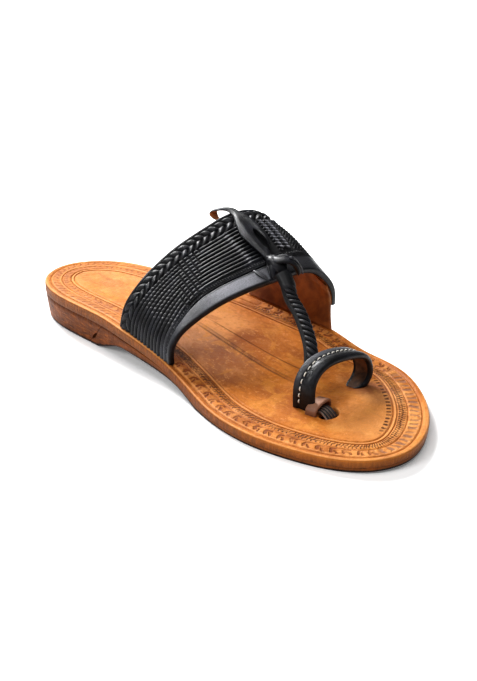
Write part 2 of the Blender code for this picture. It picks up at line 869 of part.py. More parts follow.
def build_bridge(finish):
    """The leather bridge: a low arch raised from the insole behind the hole."""
    count = 11
    columns = (0.0, 0.5, 1.0)
    lining = np.empty((count, len(columns), 3))
    front = BRIDGE_SETBACK - HOLE_LENGTH / 2.0
    for row in range(count):
        angle = math.pi * row / (count - 1)
        for column, share in enumerate(columns):
            sideways = -(HOLE_WIDTH / 2.0 - 2.0 * SEAM_GAP) * math.cos(angle)
            across, station = hole_place(sideways, front - BRIDGE_LENGTH * (1.0 - share))
            up = (BRIDGE_RISE - BRIDGE_WALL) * (0.88 + 0.12 * share) * math.sin(angle)
            lining[row, column] = (across, station, float(top_height(station)) + SEAM_GAP + up)
    outer, inner = skin_pair(lining, 0.0, BRIDGE_WALL, True, True)
    return new_object("toe_bridge", thin_solid(outer, inner), finish)


def build_braid_ends(finish):
    """The ends of the braid: strips that dive from under the bridge into the hole."""
    level = float(top_height(HOLE_STATION))
    lying = level + SEAM_GAP + BRAID_END_THICKNESS / 2.0
    start = -HOLE_LENGTH / 2.0 - BRIDGE_SETBACK
    strips = []
    for index in range(BRAID_END_COUNT):
        offset = (index - (BRAID_END_COUNT - 1) / 2.0) * BRAID_END_WIDTH * 0.92
        route = []
        for spread, forward, height in (
            (0.90, 0.00, lying),
            (1.00, 0.40, lying + 0.05 * INSOLE_AT_TOE),
            (1.05, 0.75, level - 0.1 * INSOLE_AT_TOE),
            (1.10, 1.00, level - 0.6 * INSOLE_AT_TOE),
        ):
            across, station = hole_place(offset * spread, start + BRAID_END_LENGTH * forward)
            route.append((across, station, height))
        path = smooth_path(route, 9)
        along = np.gradient(path, axis=0)
        sections = []
        for row, middle in enumerate(path):
            high = np.cross((1.0, 0.0, 0.0), along[row])
            high /= np.linalg.norm(high)
            section = []
            for spot in range(8):
                angle = 2.0 * math.pi * (spot + 0.5) / 8
                wide = BRAID_END_WIDTH / 2.0 * math.cos(angle)
                thick = BRAID_END_THICKNESS / 2.0 * math.sin(angle)
                section.append(middle + np.array((wide, 0.0, 0.0)) + high * thick)
            sections.append(section)
        strips.append(new_object("braid_ends", tube(path, sections), finish))
    for strip in strips[1:]:
        use_cutter(strips[0], strip, "UNION")
    return strips[0]


def build_sole(insole_finish, heel_finish, outsole_finish):
    """Insole, heel block and outsole. The heel meets the outsole at a slanted joint."""
    top_round = EDGE_ROUND
    insole = new_object(
        "insole",
        sole_layer(
            (
                (top_round, top_height),
                (0.3 * top_round, lambda s: top_height(s) - 0.35 * top_round),
                (0.0, lambda s: top_height(s) - top_round),
                (0.0, seam_height),
            ),
            6,
        ),
        insole_finish,
    )
    cut_hole(insole)

    def taper(station):
        return HEEL_TAPER * (1.0 - ease((station - HEEL_JOINT_AT_FLOOR) / SOLE_LENGTH * 5.0))

    def foot(station):
        return 0.45 * EDGE_ROUND + taper(station)

    courses = (
        (0.3 * EDGE_ROUND, lambda s: seam_height(s) - SEAM_GAP),
        (lambda s: 0.25 * EDGE_ROUND + 0.5 * taper(s), lambda s: 0.5 * (seam_height(s) + floor_height(s))),
        (foot, floor_height),
    )
    seam_at_joint = float(seam_height(HEEL_JOINT_AT_SEAM))
    joint = place(0.0, HEEL_JOINT_AT_FLOOR, 0.0)
    forward = Vector((0.0, -seam_at_joint, -(HEEL_JOINT_AT_SEAM - HEEL_JOINT_AT_FLOOR))).normalized()
    half_gap = forward * SEAM_GAP / 2.0 * METRES_PER_MM
    block = sole_layer(courses, 2)
    keep_one_side(block, joint - half_gap, forward)
    heel = new_object("heel", block, heel_finish)
    block = sole_layer(courses, 2)
    keep_one_side(block, joint + half_gap, -forward)
    outsole = new_object("outsole", block, outsole_finish)
    return insole, heel, outsole


def cut_hole(insole):
    """Cut the oval hole for the ends of the braid through the insole."""
    builder = bmesh.new()
    steps = 16
    levels = (FOREFOOT_HEIGHT - 2.0 * INSOLE_AT_TOE, FOREFOOT_HEIGHT + INSOLE_AT_TOE)
    rings = []
    for level in levels:
        ring = []
        for spot in range(steps):
            angle = 2.0 * math.pi * spot / steps
            across, station = hole_place(
                HOLE_WIDTH / 2.0 * math.cos(angle), HOLE_LENGTH / 2.0 * math.sin(angle)
            )
            ring.append(builder.verts.new(place(across, station, level)))
        rings.append(ring)
    for spot in range(steps):
        following = (spot + 1) % steps
        builder.faces.new((rings[0][spot], rings[0][following], rings[1][following], rings[1][spot]))
    builder.faces.new(rings[0])
    builder.faces.new(rings[1])
    use_cutter(insole, new_object("hole_cutter", builder, insole.data.materials[0]))


def stand_on_origin(pieces):
    """Move every mesh so that the middle of the shoe's box is over the origin."""
    corners = [vertex.co for piece in pieces for vertex in piece.data.vertices]
    lows = Vector([min(corner[axis] for corner in corners) for axis in range(3)])
    highs = Vector([max(corner[axis] for corner in corners) for axis in range(3)])
    shift = Vector((-(lows.x + highs.x) / 2.0, -(lows.y + highs.y) / 2.0, -lows.z))
    for piece in pieces:
        for vertex in piece.data.vertices:
            vertex.co += shift
    return shift


def main():
    """Build every piece of the sandal."""
    clear_scene()
    tan = material("tan_leather", (0.62, 0.30, 0.10), 0.45)
    brown = material("burnished_leather", (0.22, 0.09, 0.04), 0.5)
    black = material("black_leather", (0.02, 0.02, 0.025), 0.35)
    pieces = list(build_sole(tan, brown, brown))
    pieces.append(build_band(black))
    pieces.append(build_ear(tan))
    pieces.append(build_strap(black))
    pieces.append(build_knot(black))
    pieces.append(build_cord(black))
    pieces.append(build_ring(black))
    pieces.append(build_bridge(tan))
    pieces.append(build_braid_ends(black))
    shift = stand_on_origin(pieces)
    print("moved to the origin by", [round(value * 1000.0, 2) for value in shift])
    for piece in pieces:
        print(piece.name, len(piece.data.vertices), "vertices")


main()
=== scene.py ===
# %% [markdown]
# # A toe ring sandal in leather
# This lesson dresses the CAD model of one right sandal. The sole is stacked leather, the
# instep band is black leather with raised strips, and a knotted strap, a plaited cord and
# a stitched toe ring hold the foot. The frame gives the true size and place of each piece,
# so each visible piece is built over the solid that it stands for.

import math

import bmesh
import bpy
import numpy as np
from mathutils import Matrix, Vector


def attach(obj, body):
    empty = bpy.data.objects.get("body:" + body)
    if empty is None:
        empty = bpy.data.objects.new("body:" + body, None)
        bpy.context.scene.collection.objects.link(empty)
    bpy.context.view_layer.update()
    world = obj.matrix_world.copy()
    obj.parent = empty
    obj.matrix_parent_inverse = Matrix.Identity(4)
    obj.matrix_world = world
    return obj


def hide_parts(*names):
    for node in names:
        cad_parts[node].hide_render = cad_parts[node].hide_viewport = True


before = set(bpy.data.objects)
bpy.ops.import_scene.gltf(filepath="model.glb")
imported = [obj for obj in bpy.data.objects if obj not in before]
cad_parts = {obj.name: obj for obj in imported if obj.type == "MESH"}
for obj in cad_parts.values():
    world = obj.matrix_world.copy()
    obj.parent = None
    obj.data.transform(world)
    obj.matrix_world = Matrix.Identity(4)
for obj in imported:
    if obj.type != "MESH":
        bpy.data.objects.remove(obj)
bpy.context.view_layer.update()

# %% [markdown]
# A shoemaker measures from the back of the heel along the long axis of the sole. We keep
# that habit: a point is (distance from the axis, station from the heel, height), in
# millimetres, and one function turns it into the frame's metres.

# %% From shoemaker's millimetres to the frame
SOLE_LENGTH = 270.0
AXIS_SHIFT = -15.69
SEAM_GAP = 0.3


def in_frame(points):
    """Points of (across, station, height) in millimetres, as the frame's metres."""
    points = np.asarray(points, dtype=float)
    moved = np.empty_like(points)
    moved[..., 0] = points[..., 0] + AXIS_SHIFT
    moved[..., 1] = SOLE_LENGTH / 2 - points[..., 1]
    moved[..., 2] = points[..., 2]
    return moved / 1000.0


# %% [markdown]
# ## Camera
# The camera stands in front of the toe, to the left and above, as in the photograph. Its
# place was solved from the outline of the sole, so it is given as a target, a distance
# and three angles.

# %% Camera
TARGET = Vector((-0.01156, -0.01758, 0.020))
DISTANCE = 0.5148
LENS = 51.98
FILM_WIDTH = 36.0
AZIMUTH = math.radians(-42.94)
ELEVATION = math.radians(24.22)
ROLL = math.radians(1.39)

away = Vector((
    math.sin(AZIMUTH) * math.cos(ELEVATION),
    -math.cos(AZIMUTH) * math.cos(ELEVATION),
    math.sin(ELEVATION),
))
level = (-away).cross(Vector((0, 0, 1))).normalized()
upright = level.cross(-away)
camera_right = level * math.cos(ROLL) + upright * math.sin(ROLL)
camera_up = upright * math.cos(ROLL) - level * math.sin(ROLL)
camera = bpy.data.objects.new("camera", bpy.data.cameras.new("camera"))
camera.data.lens = LENS
camera.data.sensor_width = FILM_WIDTH
camera.data.clip_start = 0.01
turn = Matrix((camera_right, camera_up, away)).transposed().to_4x4()
camera.matrix_world = Matrix.Translation(TARGET + away * DISTANCE) @ turn
bpy.context.scene.collection.objects.link(camera)
bpy.context.scene.camera = camera
print("camera at", [round(value, 3) for value in camera.location])

# %% [markdown]
# ## Light
# A shop photograph on white has a bright surround, so the shadow under the sole is short
# and pale. The main light here stands high behind the heel: it reaches the insole under
# the band and rakes over the ribs towards the camera. Two weaker ones fill from above and
# from the left. Area lights give long soft reflections, which is what makes polished
# leather read as leather.

# %% Lights and surround
SURROUND = 0.16


def softbox(name, place, aim_height, size, power):
    """A square area light at a place, turned to a height over the middle of the floor."""
    data = bpy.data.lights.new(name, "AREA")
    data.shape = "SQUARE"
    data.size = size
    data.energy = power
    lamp = bpy.data.objects.new(name, data)
    lamp.location = place
    lamp.rotation_mode = "QUATERNION"
    lamp.rotation_quaternion = (Vector((0.0, 0.0, aim_height)) - Vector(place)).to_track_quat("-Z", "Y")
    bpy.context.scene.collection.objects.link(lamp)


softbox("overhead", (-0.16, -0.10, 0.80), 0.0, 0.60, 2.6)
softbox("window_left", (-0.80, 0.10, 0.62), 0.02, 0.30, 3.5)
softbox("back_key", (0.16, 0.72, 0.68), 0.02, 0.36, 16.0)

world = bpy.data.worlds.new("surround")
world.use_nodes = True
world.node_tree.nodes["Background"].inputs["Color"].default_value = (1.0, 1.0, 1.0, 1.0)
world.node_tree.nodes["Background"].inputs["Strength"].default_value = SURROUND
bpy.context.scene.world = world
bpy.context.scene.view_settings.view_transform = "Standard"
bpy.context.scene.view_settings.look = "Medium High Contrast"

# %% [markdown]
# ## Shader maths as Python
# A leather is a handful of numbers that change over its surface: how dark, how rough, how
# high. Wiring dozens of Math nodes by hand is hard to read, so one small class wraps a
# socket and lets Python's own operators add the nodes.

# %% A socket that does maths


class Wire:
    """A socket of a node tree. Sums, products and powers of it add Math nodes."""

    def __init__(self, tree, socket):
        self.tree = tree
        self.socket = socket

    def math(self, operation, *values):
        """A Math node on this value and others."""
        node = self.tree.nodes.new("ShaderNodeMath")
        node.operation = operation
        for place, value in enumerate(values):
            if isinstance(value, Wire):
                self.tree.links.new(value.socket, node.inputs[place])
            else:
                node.inputs[place].default_value = value
        return Wire(self.tree, node.outputs[0])

    def __add__(self, other):
        return self.math("ADD", self, other)

    def __radd__(self, other):
        return self.math("ADD", other, self)

    def __sub__(self, other):
        return self.math("SUBTRACT", self, other)

    def __rsub__(self, other):
        return self.math("SUBTRACT", other, self)

    def __mul__(self, other):
        return self.math("MULTIPLY", self, other)

    def __rmul__(self, other):
        return self.math("MULTIPLY", other, self)

    def __truediv__(self, other):
        return self.math("DIVIDE", self, other)

    def __pow__(self, other):
        return self.math("POWER", self, other)

    def fraction(self):
        """What is left over a whole number, which makes a repeat."""
        return self.math("FRACT", self)

    def size(self):
        """The value without its sign, which makes a repeat symmetric."""
        return self.math("ABSOLUTE", self)

    def root(self):
        """Square root."""
        return self.math("SQRT", self)

    def most(self, other):
        """The larger of two masks, so that marks join without adding up."""
        return self.math("MAXIMUM", self, other)

    def rise(self, start, end):
        """0 before start, 1 after end and a soft step between. It falls where end < start."""
        node = self.tree.nodes.new("ShaderNodeMapRange")
        node.interpolation_type = "SMOOTHSTEP"
        low, high = min(start, end), max(start, end)
        self.tree.links.new(self.socket, node.inputs["Value"])
        node.inputs["From Min"].default_value = low
        node.inputs["From Max"].default_value = high
        node.inputs["To Min"].default_value = 0.0 if end > start else 1.0
        node.inputs["To Max"].default_value = 1.0 if end > start else 0.0
        return Wire(self.tree, node.outputs["Result"])

    def band(self, start, end, soft):
        """1 between start and end, with soft flanks."""
        return self.rise(start - soft, start + soft) * self.rise(end + soft, end - soft)


# %% [markdown]
# A second class holds one material. It makes the nodes that are not maths, keeps the
# colour so far, and lays one colour over the other. Places are in the shoemaker's
# millimetres, so a mark can be put where a tape measure says.

# %% A leather with its nodes


class Leather:
    """A Principled material and the few ways this lesson adds nodes to it."""

    def __init__(self, name, **constants):
        self.material = bpy.data.materials.new(name)
        self.material.use_nodes = True
        self.tree = self.material.node_tree
        self.shader = self.tree.nodes["Principled BSDF"]
        self.colour = None
        for socket, value in constants.items():
            self.shader.inputs[socket.replace("_", " ")].default_value = value

    def node(self, kind, settings=None, **sockets):
        """One node: settings are set first, then the values or links of its sockets."""
        node = self.tree.nodes.new("ShaderNode" + kind)
        for setting, value in (settings or {}).items():
            setattr(node, setting, value)
        for socket, value in sockets.items():
            target = node.inputs[socket.replace("_", " ")]
            if isinstance(value, Wire):
                self.tree.links.new(value.socket, target)
            else:
                target.default_value = value
        return Wire(self.tree, node.outputs[0])

    def split(self, vector):
        """The three numbers of a vector, each as a Wire."""
        separate = self.node("SeparateXYZ", Vector=vector).socket.node
        return [Wire(self.tree, output) for output in separate.outputs]

    def place(self):
        """Across, station and height in millimetres, each as a Wire."""
        x, y, z = self.split(self.node("NewGeometry"))
        return x * 1000.0 - AXIS_SHIFT, SOLE_LENGTH / 2 - y * 1000.0, z * 1000.0

    def chart(self, name):
        """The two numbers of a UV map, which each piece fills with its own measures."""
        return self.split(self.node("UVMap", {"uv_map": name}))[:2]

    def join(self, x, y, z=0.0):
        """Three numbers as a vector."""
        return self.node("CombineXYZ", X=x, Y=y, Z=z)

    def noise(self, vector, scale, detail=4.0, roughness=0.55, distortion=0.0):
        """Soft noise from 0 to 1 around one half. Scale counts per unit of the vector."""
        return self.node(
            "TexNoise", Vector=vector, Scale=scale, Detail=detail, Roughness=roughness, Distortion=distortion
        )

    def cells(self, vector, scale):
        """Distance to the edge of irregular cells, as in the grain of a hide."""
        return self.node("TexVoronoi", {"feature": "DISTANCE_TO_EDGE"}, Vector=vector, Scale=scale)

    def blend(self, factor, first, second):
        """Mix two colours, given as numbers or Wires."""
        node = self.tree.nodes.new("ShaderNodeMix")
        node.data_type = "RGBA"
        for index, value in ((0, factor), (6, first), (7, second)):
            if isinstance(value, Wire):
                self.tree.links.new(value.socket, node.inputs[index])
            else:
                node.inputs[index].default_value = (*value, 1.0) if index else value
        return Wire(self.tree, node.outputs[2])

    def lay(self, mask, tone):
        """Lay a colour over the colour so far, where the mask is 1."""
        self.colour = self.blend(mask, self.colour, tone)

    def feed(self, socket, wire):
        """Link a value to a socket of the shader."""
        self.tree.links.new(wire.socket, self.shader.inputs[socket])

    def bump(self, height, strength, depth):
        """Relief from a height of 0 to 1. Depth is in metres."""
        relief = self.node("Bump", Height=height, Strength=strength, Distance=depth)
        self.feed("Normal", relief)


# %% [markdown]
# ## Tan leather of the insole
# Vegetable-tanned leather is never one colour: it is golden where it is waxed and rubbed,
# browner where feet and hands have darkened it, and nearly black inside a stamped mark.
# A picture of leather could be wrapped round the sole, but it would smear on the sides and
# could not follow the edge. So the colour is painted in thin layers, each one a mask, the
# colour so far and the colour that goes over it.

# %% Colours of the hide
GOLD = (0.56, 0.185, 0.026)
HONEY = (0.66, 0.27, 0.045)
PEACH = (0.82, 0.38, 0.13)
CARAMEL = (0.31, 0.088, 0.014)
RUST = (0.20, 0.050, 0.011)
UMBER = (0.060, 0.019, 0.007)
MAUVE = (0.22, 0.115, 0.080)
WALNUT = (0.125, 0.038, 0.010)
SOOT = (0.0035, 0.0035, 0.0045)

# %% [markdown]
# The layers of the insole share their places and their clouds. Broad clouds make large
# warm and cool areas, patchy ones break up stains, and fine ones are the grain. The chart
# called edge gives two numbers: the distance in from the edge, which is negative down the
# side, and the distance along the edge.

# %% Places and clouds of the insole


class InsoleLeather(Leather):
    """Waxed tan leather with the places and clouds that its layers share."""

    def __init__(self, name):
        super().__init__(name, Coat_Roughness=0.35, Coat_Weight=0.06, Specular_IOR_Level=0.15)
        self.across, self.station, self.height = self.place()
        self.inward, self.along = self.chart("edge")
        self.where = self.join(self.across, self.station, self.height)
        self.broad = self.noise(self.where, 0.028, 4.0, 0.5, 0.6)
        self.clouds = self.noise(self.where, 0.075, 3.0, 0.6, 0.8)
        self.patchy = self.noise(self.where, 0.11, 5.0, 0.6)
        self.mottle = self.noise(self.where, 0.42, 5.0, 0.7)
        self.fine = self.noise(self.where, 0.9, 4.0, 0.65)

    def ragged_oval(self, centre, reach, cloud, ragged, start, end):
        """An oval with a ragged edge, 0 outside and 1 in the middle."""
        sideways = (self.across - centre[0]) / reach[0]
        lengthways = (self.station - centre[1]) / reach[1]
        return (sideways ** 2.0 + lengthways ** 2.0 + (cloud - 0.5) * ragged).rise(start, end)


def lay_hide(leather):
    """Golden hide with peach clouds and brown streaks, warmer at the heel and the toe."""
    lengthways = leather.join(leather.across, leather.station * 0.12, leather.height)
    streaky = leather.noise(lengthways, 0.35, 4.0, 0.6, 0.4)
    warm_heel = leather.station.rise(105.0, 60.0) * (leather.patchy.rise(0.3, 0.6) * 0.20 + 0.05)
    warm_toe = leather.station.rise(236.0, 262.0) * 0.4
    leather.colour = leather.blend(leather.broad.rise(0.36, 0.58) * 0.7 + 0.3, CARAMEL, GOLD)
    leather.lay(leather.patchy.rise(0.5, 0.75) * 0.4, PEACH)
    leather.lay(streaky.rise(0.52, 0.72) * 0.55, CARAMEL)
    leather.lay(warm_heel.most(warm_toe), PEACH)


# %% [markdown]
# Stains tell how a sandal was handled. Here a violet oval is laid beside the ring. The
# insole under the band is painted pale, which is painted light, and a rusty oval and a
# violet oval just before the band are painted shadow of the band. Each stain is an oval
# with a ragged edge.

# %% Stains, painted light and painted shadow


def lay_stains_and_painted_light(leather):
    """Stains, mottling, the darker waist, painted light under the band and painted shadow before it."""
    patchy, clouds, mottle = leather.patchy, leather.clouds, leather.mottle
    # The pale patch under the band is painted light, and the two ovals just before the band are painted
    # shadow of the band.
    painted_light_under_band = leather.station.band(98.0, 134.0, 7.0) * leather.across.rise(44.0, 24.0)
    painted_shade_and_sheen = leather.ragged_oval((19.0, 148.0), (21.0, 15.0), patchy, 1.2, 1.6, 0.3)
    painted_band_shadow = leather.ragged_oval((-7.3, 142.0), (19.0, 30.0), patchy, 1.2, 1.8, 0.1)
    by_ring = leather.ragged_oval((36.0, 222.0), (12.0, 15.0), patchy, 1.4, 1.4, 0.2)
    toe_field = leather.ragged_oval((18.0, 238.0), (26.0, 20.0), clouds, 2.4, 1.5, 0.3)
    waist = leather.station.band(100.0, 150.0, 12.0) * leather.inward.rise(17.0, 12.0)
    # Painted light: the insole under the band is painted pale, as if lit.
    leather.lay(painted_light_under_band * 0.8, PEACH)
    # Painted shadow of the band: a rusty-dark oval just before the band.
    leather.lay(painted_shade_and_sheen * 0.4, RUST)
    # Painted shadow of the band: a violet oval just before the band.
    leather.lay(painted_band_shadow * 0.5, MAUVE)
    leather.lay(clouds.rise(0.52, 0.66) * 0.35, CARAMEL)
    leather.lay(clouds.rise(0.48, 0.36) * 0.5, HONEY)
    leather.lay(mottle.rise(0.52, 0.66) * 0.4, CARAMEL)
    leather.lay(mottle.rise(0.45, 0.34) * 0.4, PEACH)
    leather.lay(by_ring * 0.4, MAUVE)
    leather.lay(toe_field * 0.45, PEACH)
    leather.lay(waist * 0.2, RUST)


# %% [markdown]
# The border is tooled with small steel stamps, row beside row, along the edge. A row is a
# cell that repeats along the edge, with one mark drawn in it. A little noise shifts the
# marks, because a hand sets them. The rows differ at the front, the toe and the heel.

# %% Stamps of the border
HOOF_PITCH = 7.0
HOOF_CENTRE = 7.2
DASH_PITCH = 4.9
SCALE_PITCH = 2.3
SCALE_CENTRES = (12.0, 13.6)
TOOTH_PITCH = 4.3
LEAF_PITCH = 5.6
LEAF_CENTRE = 6.4
ARROW_PITCH = 4.8
ARROW_CENTRE = 12.4


def in_cell(along, pitch):
    """Place inside a cell of a row of stamps, from -0.5 to 0.5."""
    return (along / pitch).fraction() - 0.5


def crescents(along, inward, pitch, centre, radius, width):
    """A row of crescents: part of a ring in each cell of the row, open on one side."""
    step = in_cell(along, pitch) * pitch
    out = (step * step + (inward - centre) ** 2.0).root()
    return out.band(radius - width, radius + width, 0.3) * (step + (inward - centre) * 0.6).rise(-0.5, 0.4)


def hoof_marks(along, inward):
    """Large crescents with a slanting stem."""
    step = in_cell(along, HOOF_PITCH) * HOOF_PITCH
    stem = (step - (inward - 6.4) * 0.5 + 0.4).size().rise(1.0, 0.4) * inward.band(4.6, 7.4, 0.4)
    return crescents(along, inward, HOOF_PITCH, HOOF_CENTRE, 2.0, 0.75).most(stem)


def radial_dashes(along, inward):
    """Strokes that point from the edge to the middle, round the toe."""
    stroke = (in_cell(along, DASH_PITCH) - (inward - 7.0) * 0.02).size()
    return stroke.rise(0.34, 0.12) * inward.band(4.8, 9.4, 0.9)


def fish_scales(leather, along, inward, waist):
    """Two rows of small crescents, half a pitch apart, and specks in between at the waist."""
    first, second = SCALE_CENTRES
    scales = crescents(along, inward, SCALE_PITCH, first, 0.85, 0.36)
    scales = scales.most(crescents(along + SCALE_PITCH / 2.0, inward, SCALE_PITCH, second, 0.85, 0.36))
    specks = leather.cells(leather.join(along, inward * 1.2), 0.8).rise(0.22, 0.08)
    return scales.most(specks * inward.band(11.0, 15.4, 0.5) * waist)


def comb_teeth(along, inward):
    """A row of short teeth inside the border."""
    return in_cell(along, TOOTH_PITCH).size().rise(0.32, 0.14) * inward.band(18.4, 21.4, 0.5)


def heel_leaves(along, inward):
    """Slanting leaves and a row of arrows behind the band."""
    leaves = crescents(along + inward * 0.5, inward, LEAF_PITCH, LEAF_CENTRE, 1.8, 0.6)
    arrows = in_cell(along - (inward - ARROW_CENTRE).size() * 1.1, ARROW_PITCH)
    return leaves.most(arrows.size().rise(0.22, 0.08) * inward.band(11.2, 13.8, 0.5))


def stamped_rows(leather):
    """Masks of the hoof marks, dashes, small stamps and faint heel stamps."""
    across, station = leather.across, leather.station
    hand = leather.noise(leather.join(across, station), 0.16, 2.0, 0.5) - 0.5
    drift = leather.noise(leather.join(station, across), 0.12, 2.0, 0.5) - 0.5
    along = leather.along + hand * 5.0
    inward = leather.inward + drift * 2.0
    front = station.rise(112.0, 122.0)
    rear = station.rise(98.0, 88.0)
    toe = station.rise(206.0, 216.0) * across.rise(-14.0, -6.0)
    waist = station.rise(170.0, 130.0) * across.rise(0.0, -8.0)
    hooves = hoof_marks(along, inward) * front * (1.0 - toe)
    dashes = radial_dashes(along, inward) * toe
    scales = fish_scales(leather, along, inward, waist) * front
    teeth = comb_teeth(along, inward) * toe * across.rise(2.0, 8.0)
    return hooves, dashes, scales.most(teeth), heel_leaves(along, inward) * rear


# %% [markdown]
# A stamp leaves a dent and dark wax in it. So each mask is used twice: as a colour, and as
# a depth that the bump takes away from the relief. Lines are cut with a blade along the
# edge, and the leather stands up in a ridge beside them, which is painted pale as a
# painted highlight.

# %% Border, grooves and side
GROOVE_MIDDLE = 5.7


def lay_border(leather):
    """The tooled border. Returns how deep it is pressed in."""
    station, inward, patchy = leather.station, leather.inward, leather.patchy
    hooves, dashes, small, faint = stamped_rows(leather)
    wear = leather.noise(leather.where, 0.22, 3.0, 0.6).rise(0.3, 0.6) * 0.5 + 0.5
    ground = inward.rise(16.6, 14.0) * inward.rise(2.6, 4.2)
    leather.lay(ground * patchy.rise(0.6, 0.4) * station.rise(60.0, 120.0) * 0.35, PEACH)
    leather.lay(ground * patchy.rise(0.45, 0.65) * 0.5, CARAMEL)
    leather.lay(ground * station.rise(100.0, 60.0) * 0.15, CARAMEL)
    for mask, strength, tone in (
        (hooves, 0.9, RUST),
        (dashes, 0.75, MAUVE),
        (small, 0.95, UMBER),
        (faint, 0.8, CARAMEL),
    ):
        leather.lay(mask * wear * strength, tone)
    lines = inward.band(3.2, 3.7, 0.3).most(inward.band(10.0, 10.4, 0.25)) * 0.6
    lines = lines.most(inward.band(15.3, 15.7, 0.2)).most(inward.band(17.1, 17.5, 0.2))
    leather.lay(lines * 0.65, RUST)
    # Painted highlight: the raised ridges beside the lines are painted pale.
    ridge_highlights = inward.band(16.0, 16.8, 0.25).most(inward.band(4.2, 4.7, 0.25) * 0.7)
    ridge_highlights = ridge_highlights.most(inward.band(8.9, 9.7, 0.3) * station.rise(110.0, 80.0))
    leather.lay(ridge_highlights * 0.6, PEACH)
    marks = hooves.most(dashes).most(small).most(faint * 0.8)
    return marks * 0.75 + lines * 0.25


def lay_grooves(leather):
    """Three long grooves down the middle, in front of the band. Returns how deep they are."""
    from_middle = leather.across - GROOVE_MIDDLE
    flow = from_middle - (leather.station - 128.0) * 0.075
    pair = flow.band(0.9, 2.1, 0.6).most(flow.band(3.5, 4.3, 0.5) * 0.8)
    pair = pair.most(flow.band(1.5, 4.0, 0.8) * 0.35)
    thin = (from_middle - (leather.station - 131.7) * 0.14).band(12.0, 12.6, 0.3)
    grooves = pair * leather.station.band(118.0, 184.0, 14.0)
    grooves = grooves.most(thin * leather.station.band(120.0, 186.0, 12.0))
    leather.lay(grooves * 0.7, UMBER)
    return grooves * 0.6


def lay_side(leather):
    """A pale bead on the edge, and below it the streaked side with its dark smears."""
    inward, station = leather.inward, leather.station
    leather.lay(inward.band(-0.55, 0.5, 0.35) * 0.45, PEACH)
    streaks = leather.noise(leather.join(leather.along, leather.height * 0.2), 0.8, 4.0, 0.65)
    smears = leather.noise(leather.join(leather.along * 0.16, leather.height * 0.9), 0.8, 4.0, 0.6, 0.6)
    rearward = station.rise(150.0, 95.0)
    flank = leather.blend(streaks.rise(0.35, 0.7), WALNUT, CARAMEL)
    flank = leather.blend(smears.rise(0.50, 0.66) * rearward * 0.7, flank, UMBER)
    flank = leather.blend(inward.rise(-1.9, -2.6) * (rearward * 0.4 + 0.2), flank, UMBER)
    flank = leather.blend(inward.rise(-2.8, -1.2) * station.rise(190.0, 240.0) * 0.6, flank, GOLD)
    leather.lay(inward.rise(-0.25, -0.75) * 0.9, flank)


# %% [markdown]
# Last come fine scratches and pores, the roughness and the bump. The layers are laid in
# the order in which they came to the real leather: tanned, stained, tooled and worn.

# %% Insole leather


def tooled_leather(name):
    """Waxed tan leather with its stains, its painted light and shadow, its stamped border and its grooves.
    """
    leather = InsoleLeather(name)
    lay_hide(leather)
    lay_stains_and_painted_light(leather)
    pressed = lay_border(leather) + lay_grooves(leather)
    lay_side(leather)
    crosswise = leather.join(leather.across * 0.25, leather.station * 2.2, leather.height)
    scratches = leather.noise(crosswise, 0.8, 3.0, 0.5).band(0.495, 0.505, 0.006)
    leather.lay(scratches * 0.3, RUST)
    pores = leather.cells(leather.where, 1.5).rise(0.0, 0.12)
    relief = 0.55 + (leather.fine - 0.5) * 0.22 + (leather.patchy - 0.5) * 0.35
    relief = relief + (leather.mottle - 0.5) * 0.5 - pressed
    leather.feed("Base Color", leather.colour)
    leather.feed("Roughness", 0.38 + leather.fine * 0.14 + (1.0 - leather.broad) * 0.12)
    leather.bump((relief + pores * 0.1) * 0.8, 0.85, 0.0013)
    return leather.material


insole_leather = tooled_leather("stamped_tan_leather")
print("insole leather has", len(insole_leather.node_tree.nodes), "nodes")

# %% [markdown]
# ## Burnished edges
# The side of a leather sole is sanded, dyed and rubbed with wax. It shows the stack: a
# lighter upper layer, a dark line where the layers meet and a browner layer below, with
# vertical streaks from the sanding. Here the chart gives the share of the way down, from
# 0 at the seam to 1 at the floor.

# %% Edge finish
RUSSET = (0.140, 0.040, 0.009)
CHESTNUT = (0.195, 0.062, 0.014)


def edge_leather(name):
    """Burnished edge: streaks, dark smears at the heel, a dark seam and a black foot line."""
    leather = Leather(name, Coat_Roughness=0.35, Coat_Weight=0.04, Specular_IOR_Level=0.10)
    down, along = leather.chart("edge")
    across, station, height = leather.place()
    streaks = leather.noise(leather.join(along, height * 0.18, station * 0.02), 0.7, 4.0, 0.65)
    smears = leather.noise(leather.join(along * 0.16, height * 0.9), 0.8, 4.0, 0.6, 0.6)
    blotch = leather.noise(leather.join(across, station, height), 0.07, 3.0, 0.5)
    forward = station.rise(95.0, 150.0)
    rearward = 1.0 - forward
    down = down + (streaks - 0.5) * 0.12
    leather.colour = leather.blend(forward, RUSSET, CHESTNUT)
    leather.lay(down.rise(0.30, 0.60) * (forward * 0.35 + 0.1), UMBER)
    leather.lay(streaks.rise(0.48, 0.72) * (forward * 0.35 + 0.2), UMBER)
    leather.lay(smears.rise(0.50, 0.66) * rearward * 0.75, UMBER)
    leather.lay(smears.rise(0.47, 0.34) * rearward * 0.6, CARAMEL)
    leather.lay(blotch.rise(0.5, 0.7) * 0.5, CARAMEL)
    leather.lay(down.rise(0.12, 0.02) * rearward * 0.7, UMBER)
    leather.lay((down + forward * 0.34).rise(0.84, 0.93) * 0.9, SOOT)
    leather.feed("Base Color", leather.colour)
    leather.feed("Roughness", 0.36 + streaks * 0.3)
    leather.bump(streaks * 0.5 + smears * 0.5, 0.6, 0.0009)
    return leather.material


burnished = edge_leather("burnished_edge_leather")

